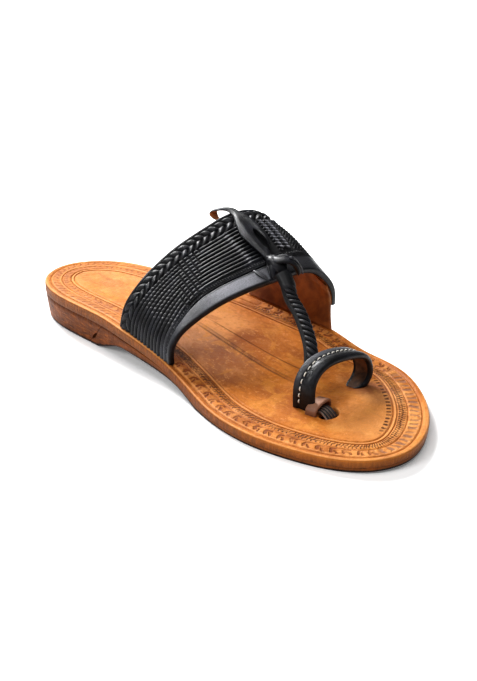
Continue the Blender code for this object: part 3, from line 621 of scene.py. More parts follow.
# %% [markdown]
# ## Black strap leather
# Black leather is a very dark base under a clear waxy coat. Nearly all that the eye sees
# is reflection, so the grain and the change in roughness matter more than the colour. Each
# black piece brings a chart with two numbers from 0 to 1: how high a spot stands, with
# painted shade mixed in, and how much painted sheen it gets. Low spots are painted a deeper
# black and made matt, as painted shade, and the painted sheen turns spots grey as painted
# highlights.

# %% Black leather
SLATE = (0.016, 0.017, 0.023)
PAINTED_SHEEN_GREY = (0.50, 0.50, 0.55)


def black_leather(name, roughness, grain):
    """Dyed black leather that its pieces' charts make matt and painted darker in hollows, as painted shade,
    and grey where they paint a sheen.
    """
    leather = Leather(name, Coat_Roughness=0.2, Coat_Weight=0.10, Specular_IOR_Level=0.26)
    where = leather.join(*leather.place())
    height_and_shade, painted_shade_and_sheen = leather.chart("edge")
    cloud = leather.noise(where, 0.12, 4.0, 0.6)
    fine = leather.noise(where, 2.2, 3.0, 0.6)
    creases = leather.cells(where, 1.9).rise(0.0, 0.10)
    leather.colour = leather.blend(cloud.rise(0.4, 0.75), SOOT, SLATE)
    # Painted shade: low spots of the chart are painted a deeper black.
    leather.lay(height_and_shade.rise(0.45, 0.12), SOOT)
    # Painted highlights and sheen: the chart's second number lays a grey over the black.
    leather.lay(painted_shade_and_sheen ** 1.5 * (fine.rise(0.35, 0.6) * 0.5 + 0.5), PAINTED_SHEEN_GREY)
    leather.feed("Base Color", leather.colour)
    leather.feed("Roughness", roughness + cloud * 0.12 + fine * 0.06 + height_and_shade.rise(0.5, 0.15) * 0.45)
    leather.bump(creases * 0.5 + fine * 0.5, grain, 0.0005)
    return leather.material


band_leather = black_leather("black_band_leather", 0.24, 0.30)

# %% [markdown]
# ## Raw leather
# The inside of a strap is the flesh side of the hide, left brown, and its cut edges are
# dyed a dark red-brown. Both are matt and a little fuzzy, so one function makes them all
# from a light and a dark tone.

# %% Linings and cut edges


def raw_leather(name, light, dark, roughness):
    """Undyed or thinly dyed leather for linings, tabs and cut edges."""
    leather = Leather(name)
    where = leather.join(*leather.place())
    cloud = leather.noise(where, 0.09, 5.0, 0.62, 0.5)
    nap = leather.noise(where, 1.6, 4.0, 0.7)
    leather.colour = leather.blend(cloud.rise(0.35, 0.7), dark, light)
    leather.lay(nap.rise(0.5, 0.8) * 0.25, UMBER)
    leather.feed("Base Color", leather.colour)
    leather.feed("Roughness", roughness + nap * 0.15)
    leather.bump(nap, 0.4, 0.0005)
    return leather.material


lining_leather = raw_leather("brown_lining_leather", (0.42, 0.15, 0.035), (0.20, 0.065, 0.016), 0.5)
cut_edge = raw_leather("dyed_cut_edge", (0.020, 0.010, 0.008), (0.008, 0.005, 0.005), 0.5)
suede = raw_leather("brown_suede_lining", (0.17, 0.075, 0.032), (0.014, 0.008, 0.006), 0.75)
tab_leather = raw_leather("grey_brown_tab_leather", (0.30, 0.145, 0.085), (0.16, 0.070, 0.036), 0.45)
grey_strip = raw_leather("worn_grey_leather", (0.075, 0.065, 0.062), (0.018, 0.016, 0.017), 0.4)
pale_cut = raw_leather("pale_cut_edge", (0.55, 0.42, 0.34), (0.32, 0.20, 0.15), 0.6)
print("finishes:", [made.name for made in bpy.data.materials])

# %% [markdown]
# ## Curves and skins
# Every piece here is a skin pulled over a grid of points. Sculpting would be freer, but a
# grid can be measured, repeated and changed. First come the paths: a smooth curve through
# a few given points, and the distance along it.

# %% Smooth paths


def cubic(knots, values, at, closed=False):
    """Natural or closed cubic spline through rows of values, read at new parameters."""
    knots = np.asarray(knots, dtype=float)
    values = np.asarray(values, dtype=float)
    spans = np.diff(knots)
    count = len(knots)
    system = np.zeros((count, count))
    right = np.zeros((count, values.shape[1]))
    rise = np.diff(values, axis=0) / spans[:, None]
    for row in range(1, count - 1):
        system[row, row - 1] = spans[row]
        system[row, row] = 2.0 * (spans[row - 1] + spans[row])
        system[row, row + 1] = spans[row - 1]
        right[row] = 3.0 * (spans[row] * rise[row - 1] + spans[row - 1] * rise[row])
    if closed:
        system[0, 0] = 2.0 * (spans[-1] + spans[0])
        system[0, 1] = spans[-1]
        system[0, count - 2] = spans[0]
        right[0] = 3.0 * (spans[0] * rise[-1] + spans[-1] * rise[0])
        system[-1, 0] = 1.0
        system[-1, -1] = -1.0
    else:
        system[0, 0:2] = (2.0, 1.0)
        right[0] = 3.0 * rise[0]
        system[-1, -2:] = (1.0, 2.0)
        right[-1] = 3.0 * rise[-1]
    slopes = np.linalg.solve(system, right)
    at = np.asarray(at, dtype=float)
    piece = np.clip(np.searchsorted(knots, at, side="right") - 1, 0, count - 2)
    span = spans[piece][:, None]
    t = ((at - knots[piece]) / spans[piece])[:, None]
    return (
        values[piece] * (1.0 + 2.0 * t) * (1.0 - t) ** 2
        + values[piece + 1] * t * t * (3.0 - 2.0 * t)
        + slopes[piece] * span * t * (1.0 - t) ** 2
        - slopes[piece + 1] * span * t * t * (1.0 - t)
    )


def run_along(path):
    """Distance along a path at each of its points."""
    steps = np.linalg.norm(np.diff(path, axis=0), axis=1)
    return np.concatenate([[0.0], np.cumsum(steps)])


def smooth_path(points, count):
    """Points at equal distances along a smooth curve through the given ones."""
    points = np.asarray(points, dtype=float)
    knots = run_along(points)
    fine = cubic(knots, points, np.linspace(0.0, knots[-1], 40 * min(count, 60)))
    run = run_along(fine)
    wanted = np.linspace(0.0, run[-1], count)
    return np.column_stack([np.interp(wanted, run, axis) for axis in fine.T])


def unit(vectors):
    """Vectors of length one, along the last axis."""
    vectors = np.asarray(vectors, dtype=float)
    return vectors / np.maximum(np.linalg.norm(vectors, axis=-1, keepdims=True), 1e-9)


def directions(path):
    """Direction of a path at each of its points."""
    return unit(np.gradient(path, axis=0))


# %% [markdown]
# Relief is drawn with a few soft shapes that take whole arrays: a smooth step, a rounded
# ridge, a box with soft flanks and the place inside a repeat. Cross sections are drawn
# with a full turn, squared a little where leather lies flat, or with a strip that has a
# face, a back and two rounded edges.

# %% Soft shapes and cross sections


def ease(value):
    """Smooth step from 0 to 1."""
    value = np.clip(value, 0.0, 1.0)
    return value * value * (3.0 - 2.0 * value)


def hump(distance, half_width, power=2.0):
    """A rounded ridge: 1 in the middle, 0 at the half width."""
    return np.clip(1.0 - np.abs(distance / half_width) ** power, 0.0, 1.0)


def bell(distance, width):
    """A bell curve: 1 in the middle, and it never quite ends."""
    return np.exp(-((distance / width) ** 2))


def soft_box(value, start, end, soft):
    """1 between start and end, with soft flanks."""
    return ease((value - start) / soft + 0.5) * (1.0 - ease((value - end) / soft + 0.5))


def cell_of(value):
    """Place inside a cell of a repeat, from -0.5 to 0.5."""
    return value - np.floor(value) - 0.5


def full_turn(count):
    """Angles at equal steps, once round."""
    return np.linspace(0.0, 2.0 * math.pi, count, endpoint=False)


def squared(value, power):
    """A sine or cosine pushed out, so that a circle drawn with it turns squarer."""
    return np.sign(value) * np.abs(value) ** power


def strip_section(start, end, face_count, back_count, start_round, end_round, round_count):
    """Shares of the width and of the wall, once round a strip: face, edge, back and edge."""
    turn = np.linspace(0.0, math.pi, round_count + 2)[1:-1]
    widths = (
        np.linspace(start, end, face_count),
        end + end_round * np.sin(turn),
        np.linspace(end, start, back_count),
        start - start_round * np.sin(turn),
    )
    walls = (
        np.ones(face_count),
        0.5 + 0.5 * np.cos(turn),
        np.zeros(back_count),
        0.5 - 0.5 * np.cos(turn),
    )
    return np.concatenate(widths), np.concatenate(walls)


# %% [markdown]
# A grid of points becomes a mesh, closed around and at its ends where the piece is
# closed. Each piece then gets its materials, its chart and the names of the CAD nodes that
# it stands for, and it rides on the one body of the sandal.

# %% Skins
SHARP_ANGLE = math.radians(50.0)


def face_outward(mesh):
    """Turn the faces of a closed mesh so that they look outward."""
    builder = bmesh.new()
    builder.from_mesh(mesh)
    bmesh.ops.recalc_face_normals(builder, faces=builder.faces)
    builder.to_mesh(mesh)
    builder.free()


def make_piece(name, points, faces, finishes, nodes=(), charts=None, picks=None):
    """A mesh piece that rides on the sandal, with its materials, chart and the nodes it replaces."""
    mesh = bpy.data.meshes.new(name)
    mesh.from_pydata(in_frame(points).tolist(), [], faces)
    for finish in finishes:
        mesh.materials.append(finish)
    if picks is not None:
        mesh.polygons.foreach_set("material_index", np.asarray(picks, dtype=np.int32))
    if charts is not None:
        layer = mesh.uv_layers.new(name="edge")
        layer.uv.foreach_set("vector", np.asarray(charts, dtype=np.float32).ravel())
    face_outward(mesh)
    mesh.shade_smooth()
    mesh.set_sharp_from_angle(angle=SHARP_ANGLE)
    piece = bpy.data.objects.new(name, mesh)
    bpy.context.scene.collection.objects.link(piece)
    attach(piece, "root")
    if nodes:
        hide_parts(*nodes)
    return piece


def round_faces(rows, columns):
    """Faces between rings of points, where the last column meets the first."""
    faces = []
    for row in range(rows - 1):
        here = row * columns
        there = here + columns
        for column in range(columns):
            following = (column + 1) % columns
            faces.append((here + column, here + following, there + following, there + column))
    return faces


def bar_mesh(sections):
    """Points and faces of a closed bar: rings of points, with a flat end at each side."""
    sections = np.asarray(sections, dtype=float)
    rows, columns = sections.shape[:2]
    faces = round_faces(rows, columns)
    faces.append(tuple(range(columns)))
    faces.append(tuple((rows - 1) * columns + spot for spot in range(columns)))
    return sections.reshape(-1, 3), faces


def join_meshes(parts):
    """Several (points, faces) as one."""
    faces = []
    start = 0
    for part_points, part_faces in parts:
        faces += [tuple(start + corner for corner in face) for face in part_faces]
        start += len(part_points)
    return np.vstack([part_points for part_points, _ in parts]), faces


def corner_charts(faces, first, second):
    """Chart of each corner of each face, from two numbers for each point."""
    return [(first[corner], second[corner]) for face in faces for corner in face]


# %% [markdown]
# ## The sole
# The outline is kept as shares of the length and of the reach to each side, because a
# shoemaker grades a pattern to size in the same way. One closed curve through those
# points gives the edge of all three layers.

# %% Outline of the sole
MEDIAL_REACH = 72.6
LATERAL_REACH = 42.5
OUTLINE_STEPS = 6001
OUTLINE = (
    (0.025, 0.245, 0.456),
    (0.085, 0.430, 0.727),
    (0.180, 0.533, 0.819),
    (0.280, 0.640, 0.802),
    (0.380, 0.785, 0.805),
    (0.480, 0.904, 0.785),
    (0.580, 1.000, 0.860),
    (0.680, 0.962, 0.990),
    (0.780, 0.924, 1.000),
    (0.870, 0.755, 0.856),
    (0.940, 0.508, 0.640),
    (0.985, 0.233, 0.353),
)


def sole_outline():
    """Closed curve of (distance from the axis, station), from the tip of the heel."""
    points = [(0.0, 0.0)]
    points += [(MEDIAL_REACH * medial, SOLE_LENGTH * share) for share, medial, _ in OUTLINE]
    points += [(0.0, SOLE_LENGTH)]
    points += [(-LATERAL_REACH * lateral, SOLE_LENGTH * share) for share, _, lateral in reversed(OUTLINE)]
    points = np.array(points + points[:1])
    knots = run_along(points)
    curve = cubic(knots, points, np.linspace(0.0, knots[-1], OUTLINE_STEPS), closed=True)
    low, high = curve[:, 1].min(), curve[:, 1].max()
    curve[:, 1] = (curve[:, 1] - low) * SOLE_LENGTH / (high - low)
    return curve


SOLE_CURVE = sole_outline()


def sole_edge(side, station):
    """Distance of the edge from the long axis, side +1 medial or -1 lateral."""
    first = int(np.argmin(SOLE_CURVE[:, 1]))
    turned = np.roll(SOLE_CURVE[:-1], -first, axis=0)
    tip = int(np.argmax(turned[:, 1]))
    half = turned[: tip + 1] if side > 0 else np.vstack([turned[tip:], turned[:1]])[::-1]
    return np.interp(station, half[:, 1], half[:, 0])


print("width at the ball", round(float(sole_edge(1, 160) - sole_edge(-1, 200)), 1), "mm")

# %% [markdown]
# From the side, the sole falls from the heel to the ball, arches over the floor in
# between and springs up a little at the toe. Three functions of the station give the top
# of the insole, the seam below it and the underside.

# %% Heights of the sole
HEEL_HEIGHT = 21.0
FOREFOOT_HEIGHT = 6.4
INSOLE_AT_HEEL = 5.7
INSOLE_AT_TOE = 4.0
RAMP = (0.287, 0.700)
ARCH_RISE = 7.7
TOE_SPRING = 1.4
SPRING_START = 0.90
UNDERSIDE = (
    (0.278, 0.00),
    (0.300, 0.24),
    (0.328, 0.60),
    (0.350, 0.88),
    (0.372, 1.00),
    (0.395, 0.99),
    (0.425, 0.92),
    (0.470, 0.77),
    (0.515, 0.66),
    (0.555, 0.52),
    (0.590, 0.26),
    (0.622, 0.00),
)


def toe_lift(station):
    """How far the toe springs up from the floor."""
    way = (station / SOLE_LENGTH - SPRING_START) / (1.0 - SPRING_START)
    return TOE_SPRING * np.clip(way, 0.0, 1.0) ** 2


def ramp(station):
    """0 on the heel, 1 on the forefoot."""
    return ease((station / SOLE_LENGTH - RAMP[0]) / (RAMP[1] - RAMP[0]))


def top_height(station):
    """Height of the insole's top."""
    return FOREFOOT_HEIGHT + (HEEL_HEIGHT - FOREFOOT_HEIGHT) * (1.0 - ramp(station)) + toe_lift(station)


def seam_height(station):
    """Height of the insole's underside."""
    thickness = INSOLE_AT_HEEL + (INSOLE_AT_TOE - INSOLE_AT_HEEL) * ramp(station)
    return top_height(station) - thickness


def floor_height(station):
    """Height of the underside, on the floor at heel and forefoot."""
    shares, rises = zip(*UNDERSIDE)
    return ARCH_RISE * np.interp(station / SOLE_LENGTH, shares, rises) + toe_lift(station)


print("arch rises", round(float(floor_height(0.372 * SOLE_LENGTH)), 1), "mm over the floor")

# %% [markdown]
# A layer of the sole is a stack of rings, each one the outline moved inward and put at
# its own height. The insole's top goes on inward ring by ring over the stamped border,
# so that the grooves of the border are true dents in the mesh, and rows of faces close
# the middle.

# %% Rings of a layer
RING_POINTS = 1100
MIDDLE_LEVEL = 8.0


def ring_base():
    """Evenly spaced outline points, their inward directions and their run from the heel."""
    curve = SOLE_CURVE[:-1]
    curve = np.roll(curve, -int(np.argmin(curve[:, 1])), axis=0)
    closed = np.vstack([curve, curve[:1]])
    run = run_along(closed)
    tip_run = run[int(np.argmax(curve[:, 1]))]
    half = RING_POINTS // 2
    wanted = np.concatenate([
        np.linspace(0.0, tip_run, half + 1),
        np.linspace(tip_run, run[-1], half + 1)[1:],
    ])
    points = np.column_stack([np.interp(wanted, run, axis) for axis in closed.T])[:-1]
    along = unit(np.roll(points, -1, axis=0) - np.roll(points, 1, axis=0))
    inward = np.column_stack([-along[:, 1], along[:, 0]])
    return points, inward, wanted


EDGE, INWARD, EDGE_RUN = ring_base()
print("edge of the sole is", round(EDGE_RUN[-1]), "mm long")


def layer_mesh(courses, middle_columns):
    """Points, faces and charts of a layer. A course is (inset, heights, chart number)."""
    points = []
    for inset, height, _ in courses:
        ring = EDGE + INWARD * np.reshape(inset, (-1, 1))
        points.append(np.column_stack([ring, height(ring[:, 1])]))
    rows = len(courses)
    faces = round_faces(rows, RING_POINTS)
    charts = []
    for row in range(rows - 1):
        here, there = courses[row][2], courses[row + 1][2]
        for spot in range(RING_POINTS):
            a, b = EDGE_RUN[spot], EDGE_RUN[spot + 1]
            charts += [(here, a), (here, b), (there, b), (there, a)]
    points = np.vstack(points)
    for ring_row in (0, rows - 1):
        start = ring_row * RING_POINTS
        ring = points[start : start + RING_POINTS]
        height = courses[ring_row][1]
        columns = middle_columns if ring_row else 1
        level = courses[ring_row][2] + (MIDDLE_LEVEL if ring_row else 0.0)
        points, faces, charts = close_middle(points, faces, charts, start, ring, height, columns, level)
    return points, faces, charts


def close_middle(points, faces, charts, start, ring, height, columns, level):
    """Rows of faces between the two sides of a ring."""
    half = RING_POINTS // 2
    rows = [[start] * (columns + 1)]
    added = []
    following = len(points)
    for step in range(1, half):
        row = [start + RING_POINTS - step]
        for column in range(1, columns):
            share = column / columns
            spot = ring[-step] + (ring[step] - ring[-step]) * share
            added.append((spot[0], spot[1], float(height(spot[1]))))
            row.append(following)
            following += 1
        rows.append(row + [start + step])
    rows.append([start + half] * (columns + 1))
    for step, (behind, ahead) in enumerate(zip(rows, rows[1:])):
        for column in range(columns):
            corners = []
            for corner in (behind[column], behind[column + 1], ahead[column + 1], ahead[column]):
                if corner not in corners:
                    corners.append(corner)
            faces.append(tuple(corners))
            charts += [(level, EDGE_RUN[step])] * len(corners)
    if added:
        points = np.vstack([points, np.array(added)])
    return points, faces, charts


# %% [markdown]
# ## Insole
# The top sheet has a rolled edge and a tooled border: a deep groove near the edge, a
# line further in and a double line that closes the border. A bump map could only shade
# them, so the rings lie closer there and dip below the surface.

# %% Insole with its grooves
BORDER_GROOVES = (
    (3.4, 0.90, 0.75),
    (10.2, 0.70, 0.55),
    (15.4, 0.55, 0.55),
    (17.5, 0.60, 0.65),
)
BORDER_START = 1.3
BORDER_END = 21.0
EDGE_ROLL = 1.1
ROLL_STEPS = 4
SIDE_BULGE = 0.12
SEAM_CLOSES = (85.0, 60.0)
SEAT_MIDDLE = (2.0, 56.0)
SEAT_REACH = (19.0, 42.0)
SEAT_DEPTH = 1.1


def border_dip(inward):
    """Depth of the border's grooves at a distance from the edge."""
    dip = 0.0
    for centre, half_width, depth in BORDER_GROOVES:
        dip += depth * math.exp(-(((inward - centre) / half_width) ** 2) * 1.6)
    return dip


def below_top(depth):
    """The insole's top lowered by a depth, as a function of the station."""
    return lambda station: top_height(station) - depth


def up_the_side(share):
    """A share of the way from the seam to the top, as a function of the station."""
    return lambda station: seam_height(station) + share * (top_height(station) - seam_height(station))


def towards_toe():
    """0 at the heel, where the seam is open, and 1 at the forefoot, where it is pressed shut."""
    start, length = SEAM_CLOSES
    return ease((EDGE[:, 1] - start) / length)


def insole_courses():
    """Rings from the underside, round the rolled edge and in over the border."""
    courses = [
        (0.5 - 0.36 * towards_toe(), seam_height, -3.0),
        (0.15, lambda station: seam_height(station) + 0.2, -2.8),
    ]
    for share in (0.15, 0.4, 0.6, 0.75):
        inset = SIDE_BULGE * (1.0 - math.sin(math.pi * share))
        courses.append((inset, up_the_side(share), -2.6 + share))
    for step in range(ROLL_STEPS + 1):
        angle = math.pi / 2 * step / ROLL_STEPS
        inset = EDGE_ROLL * (1.0 - math.cos(angle))
        courses.append((inset, below_top(EDGE_ROLL * (1.0 - math.sin(angle))), -1.0 + step / ROLL_STEPS))
    inward = BORDER_START
    while inward < BORDER_END:
        courses.append((inward, below_top(border_dip(inward)), inward))
        near = min(abs(inward - centre) for centre, _, _ in BORDER_GROOVES)
        inward += 0.2 if near < 0.9 else 0.55
    return courses


def press_seat(points):
    """The heel of the foot has pressed the top of the insole down a little."""
    out = (points[:, :2] - np.array(SEAT_MIDDLE)) / np.array(SEAT_REACH)
    on_top = points[:, 2] > top_height(points[:, 1]) - 1.0
    points[:, 2] -= SEAT_DEPTH * ease(1.0 - (out ** 2).sum(axis=1)) * on_top


points, faces, charts = layer_mesh(insole_courses(), 14)
press_seat(points)
insole = make_piece("tooled_insole", points, faces, [insole_leather], ["insole"], charts)
print("insole faces", len(insole.data.polygons))

# %% [markdown]
# The ends of the plait go down through an oval hole in front of the toe ring. A Boolean
# modifier cuts it, and its result is applied at once so that the mesh itself has the hole.

# %% The oval hole
HOLE_STATION = 221.2
HOLE_AXIS_OFFSET = 0.9
HOLE_TURN = math.radians(14.0)
HOLE_LENGTH = 9.0
HOLE_WIDTH = 13.5


def hole_place(across, forward):
    """Distance from the axis and station of a place in the turned frame of the hole."""
    return (
        HOLE_AXIS_OFFSET + across * math.cos(HOLE_TURN) + forward * math.sin(HOLE_TURN),
        HOLE_STATION - across * math.sin(HOLE_TURN) + forward * math.cos(HOLE_TURN),
    )


def punch(piece, sections):
    """Cut a closed bar out of a piece and apply the cut."""
    cutter_points, cutter_faces = bar_mesh(sections)
    mesh = bpy.data.meshes.new("punch")
    mesh.from_pydata(in_frame(cutter_points).tolist(), [], cutter_faces)
    face_outward(mesh)
    cutter = bpy.data.objects.new("punch", mesh)
    bpy.context.scene.collection.objects.link(cutter)
    cut = piece.modifiers.new("cut", "BOOLEAN")
    cut.object = cutter
    cut.operation = "DIFFERENCE"
    cut.solver = "EXACT"
    graph = bpy.context.evaluated_depsgraph_get()
    result = bpy.data.meshes.new_from_object(piece.evaluated_get(graph))
    piece.modifiers.clear()
    piece.data = result
    bpy.data.objects.remove(cutter)


def hole_rings():
    """Rings of an oval punch that flares where it passes the insole's top."""
    rings = []
    for height, flare in ((-5.0, 1.0), (FOREFOOT_HEIGHT - 0.5, 1.0), (FOREFOOT_HEIGHT, 1.06), (12.0, 1.3)):
        turn = full_turn(48)
        wide = HOLE_WIDTH / 2.0 * flare * np.cos(turn)
        long = HOLE_LENGTH / 2.0 * flare * np.sin(turn)
        rings.append(np.column_stack([*hole_place(wide, long), np.full(48, height)]))
    return rings


punch(insole, hole_rings())
print("insole after the hole", len(insole.data.polygons), "faces")

# %% [markdown]
# ## Heel and outsole
# Below the insole are two blocks: a heel that stands flat and an outsole that arches
# between heel and ball. They meet at a slanted joint. Both come from one layer that a
# plane cuts in two, so that their sides run on without a step.

# %% Lower layer
HEEL_TAPER = 1.6
HEEL_JOINT_AT_FLOOR = 67.7
HEEL_JOINT_AT_SEAM = 83.0
SIDE_COURSES = (
    (0.00, 1.20),
    (0.02, 0.75),
    (0.06, 0.50),
    (0.14, 0.45),
    (0.30, 0.36),
    (0.50, 0.30),
    (0.66, 0.24),
    (0.80, 0.20),
    (0.90, 0.20),
    (0.97, 0.22),
    (1.00, 0.45),
)


def taper(station):
    """The heel block narrows towards the floor, the outsole does not."""
    return HEEL_TAPER * (1.0 - ease((station - HEEL_JOINT_AT_FLOOR) / SOLE_LENGTH * 5.0))


def over_floor(share):
    """A share of the way from the underside to the seam, as a function of the station."""
    def height(station):
        low = floor_height(station)
        return low + (seam_height(station) - 0.4 * SEAM_GAP - low) * share

    return height


def lower_courses():
    """Rings of the lower layer from the floor up: rounded foot, side and a seam that gapes."""
    courses = []
    ragged = 0.5 + 0.5 * np.sin(EDGE_RUN[:-1] * 1.9) * np.sin(EDGE_RUN[:-1] * 0.73)
    fore = towards_toe()
    opening = (1.0 - fore) * (0.4 + 0.6 * ragged)
    for share, extra in SIDE_COURSES:
        inset = extra + taper(EDGE[:, 1]) * (1.0 - share) + opening * 0.8 * ease((share - 0.88) / 0.1)
        inset = np.where(fore * share > 0.98, 0.20, inset)
        courses.append((inset, over_floor(share), 1.0 - share))
    return courses


def lower_block(name, node, keep_heel):
    """The heel or the outsole: one side of the slanted joint."""
    points, faces, charts = layer_mesh(lower_courses(), 6)
    piece = make_piece(name, points, faces, [burnished], [node], charts)
    joint = Vector(in_frame((0.0, HEEL_JOINT_AT_FLOOR, 0.0)))
    seam_at_joint = float(seam_height(HEEL_JOINT_AT_SEAM))
    forward = Vector((0.0, -seam_at_joint, -(HEEL_JOINT_AT_SEAM - HEEL_JOINT_AT_FLOOR))).normalized()
    side = forward if keep_heel else -forward
    builder = bmesh.new()
    builder.from_mesh(piece.data)
    everything = builder.verts[:] + builder.edges[:] + builder.faces[:]
    cut = bmesh.ops.bisect_plane(
        builder, geom=everything, plane_co=joint - side * SEAM_GAP / 2000.0, plane_no=side, clear_outer=True
    )
    rim = [item for item in cut["geom_cut"] if isinstance(item, bmesh.types.BMEdge)]
    bmesh.ops.holes_fill(builder, edges=rim, sides=0)
    builder.to_mesh(piece.data)
    builder.free()
    return piece


heel = lower_block("stacked_heel", "heel", keep_heel=True)
outsole = lower_block("arched_outsole", "outsole", keep_heel=False)
print("heel and outsole faces", len(heel.data.polygons), len(outsole.data.polygons))

# %% [markdown]
# The joint gapes a little on the lateral side. A spindle laid along the joint is cut out
# of both blocks, so the nick is a real hollow with its own shadow.

# %% Nick in the joint
NICK_LOW = np.array((0.0, 71.2, 3.4))
NICK_HIGH = np.array((0.0, 77.4, 9.4))
NICK_RADIUS = 0.95
NICK_INSET = 0.9
NICK_DEPTH = 2.6


def nick_rings():
    """Rings of a spindle along the joint, deeper into the sole than it is wide."""
    way = unit(NICK_HIGH - NICK_LOW)
    over = np.cross(way, (1.0, 0.0, 0.0))
    turn = full_turn(14)
    rings = []
    for share in np.linspace(0.0, 1.0, 13):
        centre = NICK_LOW + (NICK_HIGH - NICK_LOW) * share
        centre[0] = sole_edge(-1, centre[1]) + NICK_INSET
        radius = NICK_RADIUS * (0.06 + 0.94 * math.sin(math.pi * share))
        into = np.outer(np.cos(turn), (NICK_DEPTH * radius, 0.0, 0.0))
        rings.append(centre + into + np.outer(np.sin(turn), over * radius))
    return rings


for block in (heel, outsole):
    punch(block, nick_rings())
    print(block.name, "with its nick:", len(block.data.polygons), "faces")

# %% [markdown]
# ## Instep band
# The band is one wall of leather. Its rear and front edges are two arches from the
# lateral side of the sole over the instep to the medial side, and every point between
# them is found from a share of the arch and a share of the width.

# %% Arches of the band
BAND_WALL = 2.8
BAND_REAR_STATION = 97.6
BAND_FRONT_STATION = 141.0
BAND_REAR_SKEW = 6.4
BAND_FRONT_SKEW = 16.0
BAND_REAR_RISE = 48.9
BAND_FRONT_RISE = 36.2
BAND_SETBACK = 5.0
BAND_SWELL = 3.6
BAND_END_HEIGHT = 14.0
EDGE_POINTS = 145
REAR_ARCH = (
    (0.000, 0.000),
    (0.035, 0.213),
    (0.096, 0.351),
    (0.177, 0.483),
    (0.247, 0.573),
    (0.352, 0.690),
    (0.457, 0.781),
    (0.569, 0.860),
    (0.679, 0.932),
    (0.781, 0.985),
    (0.860, 1.000),
    (0.955, 0.988),
    (1.042, 0.925),
    (1.093, 0.785),
    (1.110, 0.575),
    (1.093, 0.333),
    (1.053, 0.143),
    (1.000, 0.000),
)
FRONT_ARCH = (
    (0.000, 0.000),
    (0.000, 0.199),
    (0.027, 0.350),
    (0.081, 0.480),
    (0.163, 0.610),
    (0.275, 0.741),
    (0.408, 0.843),
    (0.540, 0.913),
    (0.666, 0.969),
    (0.764, 1.000),
    (0.837, 0.970),
    (0.900, 0.862),
    (0.949, 0.722),
    (0.977, 0.568),
    (0.987, 0.293),
    (1.000, 0.000),
)
SWELL = (
    (0.00, 0.00),
    (0.45, 0.05),
    (0.60, 0.45),
    (0.72, 1.00),
    (0.84, 0.75),
    (0.94, 0.10),
    (1.00, 0.00),
)


def seat(across, station, lift=SEAM_GAP):
    """A point on the insole."""
    return np.array((across, station, float(top_height(station)) + lift))


def band_edge(front):
    """Lining side of the band's rear or front edge, as an evenly spaced path."""
    station = BAND_FRONT_STATION if front else BAND_REAR_STATION
    skew = BAND_FRONT_SKEW if front else BAND_REAR_SKEW
    rise = BAND_FRONT_RISE if front else BAND_REAR_RISE
    lateral = seat(sole_edge(-1, station) + BAND_SETBACK, station)
    medial = seat(sole_edge(1, station + skew) + SEAM_GAP, station + skew)
    rows = FRONT_ARCH if front else REAR_ARCH
    points = [lateral + (medial - lateral) * share + np.array((0.0, 0.0, rise * up)) for share, up in rows]
    return smooth_path(points, EDGE_POINTS)


REAR_EDGE = band_edge(front=False)
FRONT_EDGE = band_edge(front=True)
ARCH_SHARES = np.linspace(0.0, 1.0, len(REAR_EDGE))
BAND_LENGTH = 0.5 * (run_along(REAR_EDGE)[-1] + run_along(FRONT_EDGE)[-1])
print("band is", round(BAND_LENGTH, 1), "mm long over the arch")


def band_points(around, forward):
    """Lining points for arrays of shares of the arch and of the width."""
    around, forward = np.broadcast_arrays(np.asarray(around, float), np.asarray(forward, float))
    rear = np.stack([np.interp(around, ARCH_SHARES, axis) for axis in REAR_EDGE.T], axis=-1)
    front = np.stack([np.interp(around, ARCH_SHARES, axis) for axis in FRONT_EDGE.T], axis=-1)
    points = rear + (front - rear) * forward[..., None]
    for row, weight in ((0, 1.0 - around), (-1, around)):
        foot_station = REAR_EDGE[row, 1] + (FRONT_EDGE[row, 1] - REAR_EDGE[row, 1]) * forward
        foot_height = REAR_EDGE[row, 2] + (FRONT_EDGE[row, 2] - REAR_EDGE[row, 2]) * forward
        points[..., 2] += (top_height(foot_station) + SEAM_GAP - foot_height) * weight
    shares, swells = zip(*SWELL)
    swell = BAND_SWELL * np.interp(around, shares, swells) * np.sin(np.pi * np.clip(forward, 0.0, 1.0))
    return points + swell[..., None] * np.array((0.5, 0.0, 0.87))


def band_axes(around, forward):
    """Lining point with its outward normal, forward and medial directions."""
    step = 0.01
    point = band_points(around, forward)
    ahead = unit(band_points(around, forward + step) - point)
    inner = band_points(around + step, forward) - band_points(around - step, forward)
    normal = unit(np.cross(inner, ahead))
    if normal[2] < 0.0:
        normal = -normal
    return point, normal, ahead, unit(np.cross(ahead, normal))


def share_at_height(edge, height):
    """Share of the arch where the medial side has this height over its foot."""
    half = len(edge) // 2
    over = edge[half:, 2] - edge[-1, 2]
    return float(np.interp(height, over[::-1], ARCH_SHARES[half:][::-1]))


def ends_at_height(height, forward):
    """Shares of the arch where the wall ends at a height on the medial side."""
    rear = share_at_height(REAR_EDGE, height)
    return rear + (share_at_height(FRONT_EDGE, height) - rear) * forward


def upright_where(normal, level):
    """Normals turned level where level is 1, so that the foot of a wall stands upright."""
    flat = unit(normal * np.array((1.0, 1.0, 0.0)))
    return unit(normal * (1.0 - level) + flat * level)


# %% [markdown]
# The outside of the band is worked in strips. From the rear: a smooth binding, a plaited
# row of slanting leaves, a field of raised ribs, two fine lines with beads between them,
# and a smooth margin. Each strip is a function that gives the height over the wall, in
# millimetres, for whole arrays of places. The plait comes first.

# %% Places and plait of the band
PLAIT_START = 0.045
PLAIT_END = 0.212
FIELD_END = 0.725
BEADS_END = 0.800
PLAIT_PITCH = 5.0
PLAIT_SLANT = 0.52
PLAIT_HEIGHT = 1.35


